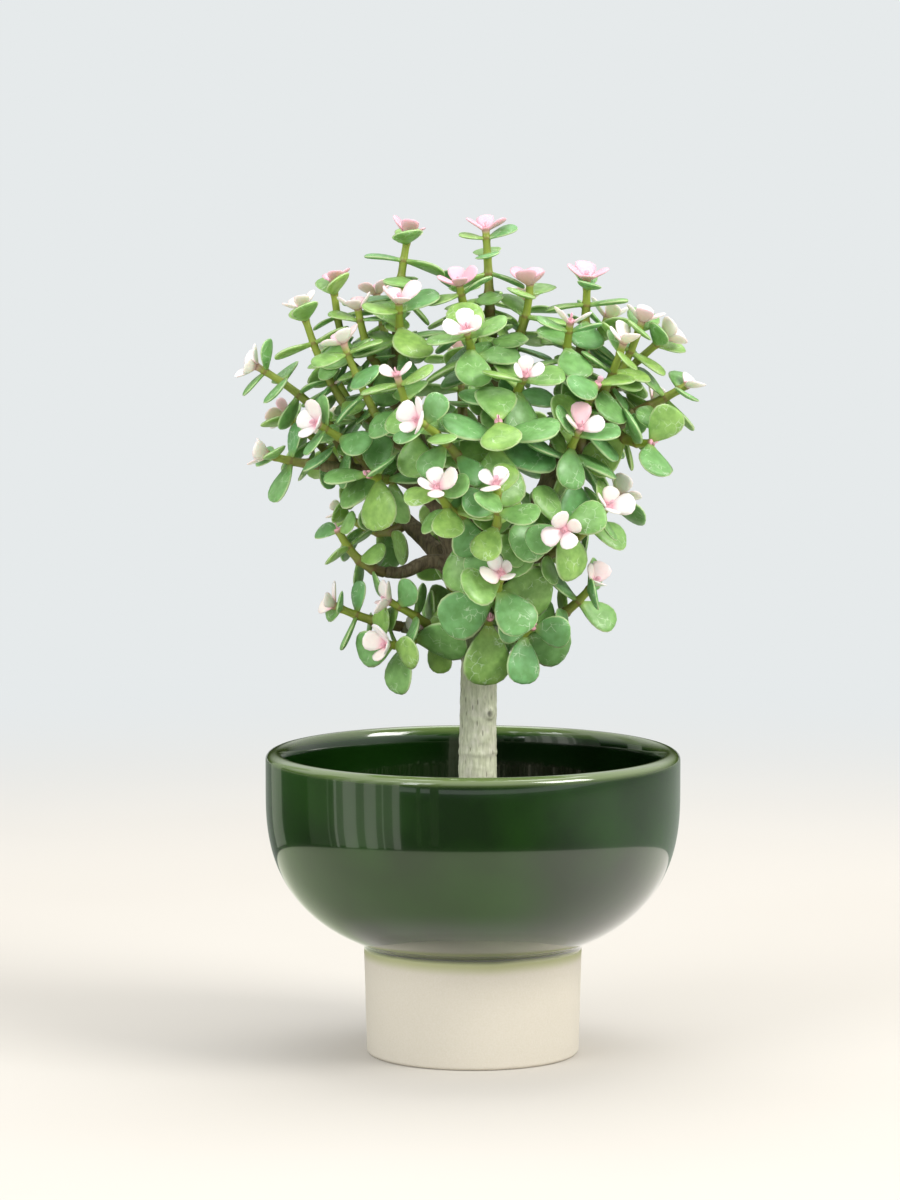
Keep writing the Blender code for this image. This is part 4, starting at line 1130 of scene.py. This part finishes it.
def loose_grains(look):
    """Cactus grit: grains of pale pumice, grey crushed rock and dark composted bark, all dull and dusty."""
    tree, shader, place = new_finish("loose_grains")
    tint = node(tree, "ShaderNodeAttribute", {}, out="Fac", attribute_name="tint")
    rock = node(tree, "ShaderNodeMapRange", {"Value": tint, "From Min": 0.52, "From Max": 0.56})
    pale = node(tree, "ShaderNodeMapRange", {"Value": tint, "From Min": 0.86, "From Max": 0.88})
    colour = node(tree, "ShaderNodeMix", {0: rock, 6: look.bark_chip, 7: look.rock}, out=2, data_type="RGBA")
    colour = node(tree, "ShaderNodeMix", {0: pale, 6: colour, 7: look.pumice}, out=2, data_type="RGBA")
    dust = node(tree, "ShaderNodeTexNoise", {"Vector": place, "Scale": 1500.0, "Detail": 4.0})
    shade = node(tree, "ShaderNodeMapRange", {
        "Value": dust, "From Min": 0.4, "From Max": 0.7, "To Max": 0.45})
    colour = node(tree, "ShaderNodeMix", {0: shade, 6: colour, 7: look.peat}, out=2, data_type="RGBA")
    tree.links.new(colour, shader.inputs["Base Color"])
    shader.inputs["Roughness"].default_value = 0.92
    relief = node(tree, "ShaderNodeBump", {"Height": dust, "Strength": 0.6, "Distance": 0.0004})
    tree.links.new(relief, shader.inputs["Normal"])


def plain_floor(look):
    """Matt painted board, plain and pale.

    It turns into the glow of the backdrop further out, so that no horizon shows.
    """
    tree, shader, place = new_finish("plain_floor")
    cloud = node(tree, "ShaderNodeTexNoise", {"Vector": place, "Scale": 3.0, "Detail": 2.0})
    colour = node(tree, "ShaderNodeMix", {0: cloud, 6: look.floor, 7: look.floor_shade},
                  out=2, data_type="RGBA")
    away = node(tree, "ShaderNodeVectorMath", {0: place}, out="Value", operation="LENGTH")
    glow = node(tree, "ShaderNodeMapRange", {
        "Value": away, "From Min": 0.35, "From Max": 1.3}, interpolation_type="SMOOTHERSTEP")
    colour = node(tree, "ShaderNodeMix", {0: glow, 6: colour, 7: linear("#000000")}, out=2, data_type="RGBA")
    tree.links.new(colour, shader.inputs["Base Color"])
    tree.links.new(glow, shader.inputs["Emission Strength"])
    shader.inputs["Emission Color"].default_value = look.backdrop
    shader.inputs["Roughness"].default_value = 0.9
    shader.inputs["Specular IOR Level"].default_value = 0.0


def black_card(look):
    """Matt black card, which pales to the right. It only shows as a reflection, high on the bowl."""
    tree, shader, place = new_finish("black_card")
    towards = node(tree, "ShaderNodeVectorMath", {0: place}, out="Vector", operation="NORMALIZE")
    towards = node(tree, "ShaderNodeVectorMath", {0: towards, 1: (0.75, 0.66, 0.0)}, out="Value",
                   operation="DOT_PRODUCT")
    pale = node(tree, "ShaderNodeMapRange", {
        "Value": towards, "From Min": -0.35, "From Max": 0.75}, interpolation_type="SMOOTHSTEP")
    colour = node(tree, "ShaderNodeMix", {0: pale, 6: look.card, 7: look.card_pale}, out=2, data_type="RGBA")
    tree.links.new(colour, shader.inputs["Base Color"])
    shader.inputs["Roughness"].default_value = 0.9


def tinted_card(look):
    """Matt card, the colour of the floor near the bowl and on the right, and grey-green to the left.

    It only shows as a reflection, and makes the left of the bowl greener.
    """
    tree, shader, place = new_finish("tinted_card")
    towards = node(tree, "ShaderNodeVectorMath", {0: place}, out="Vector", operation="NORMALIZE")
    towards = node(tree, "ShaderNodeVectorMath", {0: towards, 1: (-0.85, -0.5, 0.0)}, out="Value",
                   operation="DOT_PRODUCT")
    left = node(tree, "ShaderNodeMapRange", {
        "Value": towards, "From Min": -0.75, "From Max": 0.55, "To Max": 0.8},
        interpolation_type="SMOOTHSTEP")
    away = node(tree, "ShaderNodeVectorMath", {0: place}, out="Value", operation="LENGTH")
    far = node(tree, "ShaderNodeMapRange", {
        "Value": away, "From Min": 0.06, "From Max": 0.10}, interpolation_type="SMOOTHSTEP")
    tinted = node(tree, "ShaderNodeMath", {0: left, 1: far}, operation="MULTIPLY")
    colour = node(tree, "ShaderNodeMix", {0: tinted, 6: look.floor, 7: look.card_green},
                  out=2, data_type="RGBA")
    tree.links.new(colour, shader.inputs["Base Color"])
    shader.inputs["Roughness"].default_value = 0.9


def grey_card(name, shade):
    """Matt card in one of three greys, which only shows as an upright streak in the glaze."""
    _, shader, _ = new_finish(name)
    shader.inputs["Base Color"].default_value = shade
    shader.inputs["Roughness"].default_value = 0.9


# The stage, in metres

CAMERA_AT = Vector((-0.0094, -2.2, 0.42))
CAMERA_AIM = Vector((-0.0094, 0.0, 0.187))
CARD_HEIGHT = 0.4

# Cards that stand round the bowl: degrees to the right of the front, distance, width, finish
UPRIGHT_CARDS = [
    (-129, 0.372, 0.110, "grey_card"), (-84, 0.372, 0.126, "dim_card"), (-65, 0.372, 0.126, "grey_card"),
    (-46, 0.372, 0.126, "grey_card"), (-78, 0.36, 0.006, "grey_card"), (-73, 0.36, 0.010, "light_card"),
    (-64, 0.36, 0.050, "light_card"), (-52, 0.36, 0.042, "light_card"), (-45, 0.36, 0.005, "light_card"),
    (-38, 0.36, 0.024, "light_card"), (-27, 0.40, 0.014, "dim_card"), (-19, 0.40, 0.030, "dim_card"),
]


def soft_light(name, at, aim_height, size, power, colour):
    """A rectangular studio light that faces a point on the plant's axis, in metres and watts."""
    lamp = bpy.data.lights.new(name, "AREA")
    lamp.shape = "RECTANGLE"
    lamp.size, lamp.size_y = size
    lamp.energy = power
    lamp.color = colour
    light = bpy.data.objects.new(name, lamp)
    light.location = at
    light.rotation_euler = (Vector((0, 0, aim_height)) - light.location).to_track_quat("-Z", "Y").to_euler()
    light.visible_camera = False
    bpy.context.collection.objects.link(light)


def flat_card(name, inner, outer):
    """A flat ring of card, just above the floor, between two radii in millimetres."""
    deselect()
    bpy.ops.mesh.primitive_circle_add(vertices=96, radius=inner * MM, fill_type="NOTHING")
    card = bpy.context.object
    card.name = f"{name}_ring"
    bpy.ops.object.mode_set(mode="EDIT")
    bpy.ops.mesh.extrude_region_move(TRANSFORM_OT_translate={"value": (0, 0, 0)})
    out = outer / inner
    bpy.ops.transform.resize(value=(out, out, 1), center_override=(0, 0, 0))
    bpy.ops.mesh.select_all(action="SELECT")
    bpy.ops.transform.translate(value=(0, 0, 0.5 * MM))
    bpy.ops.object.mode_set(mode="OBJECT")
    card.data.materials.append(bpy.data.materials[name])
    return card


def upright_card(azimuth, away, width, shade):
    """A card that stands on the floor and faces the bowl, from a row of UPRIGHT_CARDS."""
    deselect()
    turn = math.radians(azimuth)
    middle = (away * math.sin(turn), -away * math.cos(turn), CARD_HEIGHT / 2)
    bpy.ops.mesh.primitive_plane_add(size=1, location=middle, rotation=(math.pi / 2, 0, turn))
    bpy.ops.transform.resize(value=(width, width, CARD_HEIGHT))
    card = bpy.context.object
    card.name = f"{shade}_{-azimuth}"
    card.data.materials.append(bpy.data.materials[shade])
    return card


def pale_room(look):
    """The world: paler above, plain behind, and dark to reflections from low down, all but on the right."""
    world = bpy.data.worlds.new("pale_room")
    bpy.context.scene.world = world
    world.use_nodes = True
    tree = world.node_tree
    place = node(tree, "ShaderNodeTexCoord", {}, out="Generated")
    height = node(tree, "ShaderNodeSeparateXYZ", {"Vector": place}, out="Z")
    up = node(tree, "ShaderNodeMapRange", {"Value": height, "From Min": 0.0, "From Max": 0.75},
              interpolation_type="SMOOTHSTEP")
    room = node(tree, "ShaderNodeMix", {0: up, 6: look.room_low, 7: look.room_high}, out=2, data_type="RGBA")
    glossy = node(tree, "ShaderNodeLightPath", {}, out="Is Glossy Ray")
    low = node(tree, "ShaderNodeMapRange", {"Value": height, "From Min": 0.40, "From Max": 0.12})
    across = node(tree, "ShaderNodeSeparateXYZ", {"Vector": place}, out="X")
    left = node(tree, "ShaderNodeMapRange", {"Value": across, "From Min": 0.85, "From Max": 0.45})
    dark = node(tree, "ShaderNodeMath", {0: low, 1: left}, operation="MULTIPLY")
    dark = node(tree, "ShaderNodeMath", {0: dark, 1: glossy}, operation="MULTIPLY")
    room = node(tree, "ShaderNodeMix", {0: dark, 6: room, 7: look.card}, out=2, data_type="RGBA")
    seen = node(tree, "ShaderNodeLightPath", {}, out="Is Camera Ray")
    colour = node(tree, "ShaderNodeMix", {0: seen, 6: room, 7: look.backdrop}, out=2, data_type="RGBA")
    tree.links.new(colour, tree.nodes["Background"].inputs["Color"])


def make_camera(look):
    eye = bpy.data.cameras.new("camera")
    eye.lens = look.lens
    eye.sensor_width = 36.0
    eye.clip_end = 200.0
    camera = bpy.data.objects.new("camera", eye)
    camera.location = CAMERA_AT
    camera.rotation_euler = (CAMERA_AIM - CAMERA_AT).to_track_quat("-Z", "Y").to_euler()
    bpy.context.collection.objects.link(camera)
    bpy.context.scene.camera = camera
    bpy.context.scene.view_settings.view_transform = "Standard"


def make_stage(look):
    """A pale floor, cards that only reflections see, soft lights, a pale room and the camera."""
    deselect()
    bpy.ops.mesh.primitive_circle_add(vertices=96, radius=look.floor_radius, fill_type="NGON")
    floor = bpy.context.object
    floor.name = "floor"
    floor.data.materials.append(bpy.data.materials["plain_floor"])

    cards = [flat_card("black_card", look.card_inner, look.card_outer),
             flat_card("tinted_card", look.tint_inner, look.card_inner),
             *(upright_card(*row) for row in UPRIGHT_CARDS)]
    for card, ray in product(cards, ("camera", "diffuse", "shadow", "transmission", "volume_scatter")):
        setattr(card, f"visible_{ray}", False)

    soft_light("key_right", (1.5, -0.9, 1.5), 0.17, (1.0, 1.0), look.key_power, (1.0, 0.985, 0.96))
    soft_light("fill_left", (-1.3, -1.3, 1.2), 0.17, (1.2, 1.2), look.fill_power, (0.96, 0.98, 1.0))
    soft_light("top", (0.1, 0.5, 1.9), 0.2, (1.4, 1.0), look.top_power, (1.0, 1.0, 1.0))
    pale_room(look)
    make_camera(look)


# Settings, operators and panel


def colour(name, description, code):
    return FloatVectorProperty(
        name=name, description=description, subtype="COLOR", size=4, min=0, max=1, default=linear(code))


class JadeBowlSettings(bpy.types.PropertyGroup):
    """The footed bowl."""

    sides: IntProperty(name="Sides", description="Sides that the turned bowl has", default=144, min=24)
    glaze_line: FloatProperty(
        name="Glaze line", description="Height of the glaze's edge, in millimetres", default=43.4)
    glaze: colour("Glaze", "The glaze where it is deep", "#0C2404")
    glaze_light: colour("Glaze, thinner", "The glaze where it is a little thinner", "#1B4009")
    # The inner wall's painted light on the left, and its painted shade on the right below the lip.
    glaze_inside_painted_lit: colour("Glaze, inside", "The glaze inside the bowl, where it was poured out", "#1A4110")
    glaze_painted_shade: colour("Glaze, thick", "The thickest glaze inside the bowl", "#051404")
    # Partly glaze breaking thin over the lip, partly a painted highlight.
    glaze_thin_and_highlight: colour("Glaze, thin", "The glaze where it breaks over the lip", "#93A866")
    glaze_edge: colour("Glaze, edge", "The glaze's edge, which soaks into the clay", "#BABD90")
    clay: colour("Clay", "The bare clay of the foot", "#DDD7CC")
    clay_shade: colour("Clay, darker", "The sand in the clay", "#D2CBB9")


class JadeMixSettings(bpy.types.PropertyGroup):
    """The potting mix."""

    grains: IntProperty(name="Grains", description="Loose grains on the mix", default=1500, min=0)
    peat: colour("Peat", "The darkest of the fine mix", "#1B1410")
    coir: colour("Coir", "The fibres in the fine mix", "#4A3626")
    bark_chip: colour("Bark chips", "Grains of composted bark", "#3A2A1E")
    rock: colour("Rock", "Grains of crushed rock", "#77705F")
    pumice: colour("Pumice", "Grains of pumice", "#CFC8B6")


class JadeTreeSettings(bpy.types.PropertyGroup):
    """The trunk and limbs."""

    voxel: FloatProperty(
        name="Fineness", description="Size of the bark's mesh, in millimetres", default=0.65, min=0.3)
    relief: FloatProperty(
        name="Relief", description="Depth of the bark's unevenness, in millimetres", default=0.7)
    trunk: colour("Trunk", "Bark of the trunk", "#DEE2C4")
    trunk_shade: colour("Trunk, streaks", "Upright streaks in the trunk's bark", "#BFC3A4")
    scurf: colour("Scurf", "Pale dry scurf on the trunk", "#E0DFCB")
    knot: colour("Knot", "The hollow of the knot", "#4B4A3C")
    pore: colour("Pores", "Small dark pores of the bark", "#77755C")
    limb: colour("Limb", "Bark of the limbs", "#85765C")
    limb_shade: colour("Limb, streaks", "Streaks in the limbs' bark", "#5F5340")
    young_limb: colour("Young limb", "Bark at the ends of the limbs", "#8A8A50")


class JadeShootSettings(bpy.types.PropertyGroup):
    """The leafy shoots."""

    leaf_blue: colour("Leaf, cool", "The bluest of the green leaves", "#76B071")
    leaf_grass: colour("Leaf, warm", "The yellowest of the green leaves", "#9FC565")
    leaf_shade: colour("Leaf, mottling", "Darker mottling of a leaf", "#4D7C2C")
    leaf_base: colour("Leaf, stalk", "The leaf next to its stalk", "#A9C268")
    leaf_rim: colour("Leaf, rim", "The thin pale rim of a leaf", "#CBDFA6")
    # Fine white lines on a leaf: partly scratch marks in its waxy coat, partly a painted sheen.
    wax_and_sheen: colour("Wax", "Scratches in a leaf's wax", "#D6E8C9")
    young_white: colour("Young leaf, white", "The whitest of the young leaves", "#F6F4F1")
    young_cream: colour("Young leaf, cream", "The creamiest of the young leaves", "#F3E9DF")
    young_pink: colour("Young leaf, blush", "The blush at a young leaf's stalk", "#EBA0B8")
    stem_green: colour("Stem, new", "A stem near its tip", "#8F9F3C")
    stem_old: colour("Stem, old", "A stem near its limb", "#76663F")
    stem_tip: colour("Stem, tip", "The pink tip of a stem", "#E7A9B4")
    stem_ring: colour("Stem, rings", "The corky rings of a stem", "#7C5A3C")


class JadeStageSettings(bpy.types.PropertyGroup):
    """The floor, the lights and the camera."""

    floor_radius: FloatProperty(
        name="Floor radius", description="Radius of the floor", default=30.0, unit="LENGTH")
    tint_inner: FloatProperty(
        name="Tinted card, inner", description="Inner radius of the tinted card, in millimetres",
        default=58.0)
    card_inner: FloatProperty(
        name="Card, inner", description="Inner radius of the black card, in millimetres", default=350.0)
    card_outer: FloatProperty(
        name="Card, outer", description="Outer radius of the black card, in millimetres", default=5000.0)
    lens: FloatProperty(name="Lens", description="The camera's focal length, in millimetres", default=162.4)
    key_power: FloatProperty(name="Key", description="Light from the right", default=34.0, unit="POWER")
    fill_power: FloatProperty(name="Fill", description="Light from the left", default=18.0, unit="POWER")
    top_power: FloatProperty(name="Top", description="Light from above", default=12.0, unit="POWER")
    floor: colour("Floor", "The floor", "#CFCBC4")
    floor_shade: colour("Floor, darker", "Faint unevenness of the floor", "#C8C3BB")
    card: colour("Card", "The card that reflections see", "#0B0E06")
    card_pale: colour("Card, pale", "The same card at the right", "#7A8278")
    card_green: colour("Card, green", "The tinted card at the left", "#A4B08F")
    card_dim: colour("Card, dim", "The darkest of the upright cards that streak the glaze", "#5E655B")
    card_grey: colour("Card, grey", "The wide upright cards that streak the glaze", "#969D92")
    card_light: colour("Card, light", "The narrow upright cards that streak the glaze", "#E4E8E0")
    room_low: colour("Room, walls", "What lights the plant from the sides", "#B0B2B0")
    room_high: colour("Room, ceiling", "What lights the plant from above", "#FFFFFF")
    backdrop: colour("Backdrop", "What is seen past the floor", "#E6EAEB")


class JADE_OT_finishes(bpy.types.Operator):
    """Makes every finish"""

    bl_idname = "jade.finishes"
    bl_label = "Finishes"

    def execute(self, context):
        scene = context.scene
        glazed_stoneware(scene.jade_bowl)
        fine_mix(scene.jade_mix)
        loose_grains(scene.jade_mix)
        bark(scene.jade_tree)
        for finish_of in (leaf, young_leaf, green_stem):
            finish_of(scene.jade_shoots)
        plain_floor(scene.jade_stage)
        black_card(scene.jade_stage)
        tinted_card(scene.jade_stage)
        grey_card("dim_card", scene.jade_stage.card_dim)
        grey_card("grey_card", scene.jade_stage.card_grey)
        grey_card("light_card", scene.jade_stage.card_light)
        return {"FINISHED"}


class JADE_OT_bowl(bpy.types.Operator):
    """Turns the footed bowl"""

    bl_idname = "jade.bowl"
    bl_label = "Footed bowl"

    def execute(self, context):
        make_bowl(context.scene.jade_bowl)
        return {"FINISHED"}


class JADE_OT_mix(bpy.types.Operator):
    """Fills the bowl with potting mix and its loose grains"""

    bl_idname = "jade.mix"
    bl_label = "Potting mix"

    def execute(self, context):
        make_mix(context.scene.jade_mix)
        return {"FINISHED"}


class JADE_OT_tree(bpy.types.Operator):
    """Grows the trunk and its limbs"""

    bl_idname = "jade.tree"
    bl_label = "Trunk and limbs"

    def execute(self, context):
        make_tree(context.scene.jade_tree)
        return {"FINISHED"}


class JADE_OT_shoots(bpy.types.Operator):
    """Grows every shoot, with its stem, its green leaves and its young leaves"""

    bl_idname = "jade.shoots"
    bl_label = "Leafy shoots"

    def execute(self, context):
        make_shoots(context.scene.jade_shoots)
        return {"FINISHED"}


class JADE_OT_stage(bpy.types.Operator):
    """Sets up the floor, the lights and the camera"""

    bl_idname = "jade.stage"
    bl_label = "Stage"

    def execute(self, context):
        make_stage(context.scene.jade_stage)
        return {"FINISHED"}


class JADE_PT_panel(bpy.types.Panel):
    """Lists the plant's settings, and makes its pieces"""

    bl_idname = "JADE_PT_panel"
    bl_label = "Potted jade plant"
    bl_space_type = "VIEW_3D"
    bl_region_type = "UI"
    bl_category = "Potted jade"

    def draw(self, context):
        layout = self.layout
        for operator in OPERATORS:
            layout.operator(operator.bl_idname)
        for key in SETTINGS:
            group = getattr(context.scene, key)
            box = layout.box()
            box.label(text=group.__doc__ or key)
            for name in group.__annotations__:
                box.prop(group, name)


SETTINGS = {
    "jade_bowl": JadeBowlSettings,
    "jade_mix": JadeMixSettings,
    "jade_tree": JadeTreeSettings,
    "jade_shoots": JadeShootSettings,
    "jade_stage": JadeStageSettings,
}
OPERATORS = (JADE_OT_finishes, JADE_OT_stage, JADE_OT_bowl, JADE_OT_mix, JADE_OT_tree, JADE_OT_shoots)


def register():
    for each in (*SETTINGS.values(), *OPERATORS, JADE_PT_panel):
        bpy.utils.register_class(each)
    for key, group in SETTINGS.items():
        setattr(bpy.types.Scene, key, PointerProperty(type=group))


def unregister():
    for key in SETTINGS:
        delattr(bpy.types.Scene, key)
    for each in reversed((*SETTINGS.values(), *OPERATORS, JADE_PT_panel)):
        bpy.utils.unregister_class(each)


def main():
    register()
    bpy.ops.jade.finishes()
    bpy.ops.jade.stage()
    bpy.ops.jade.bowl()
    bpy.ops.jade.mix()
    bpy.ops.jade.tree()
    bpy.ops.jade.shoots()


if __name__ == "__main__":
    main()
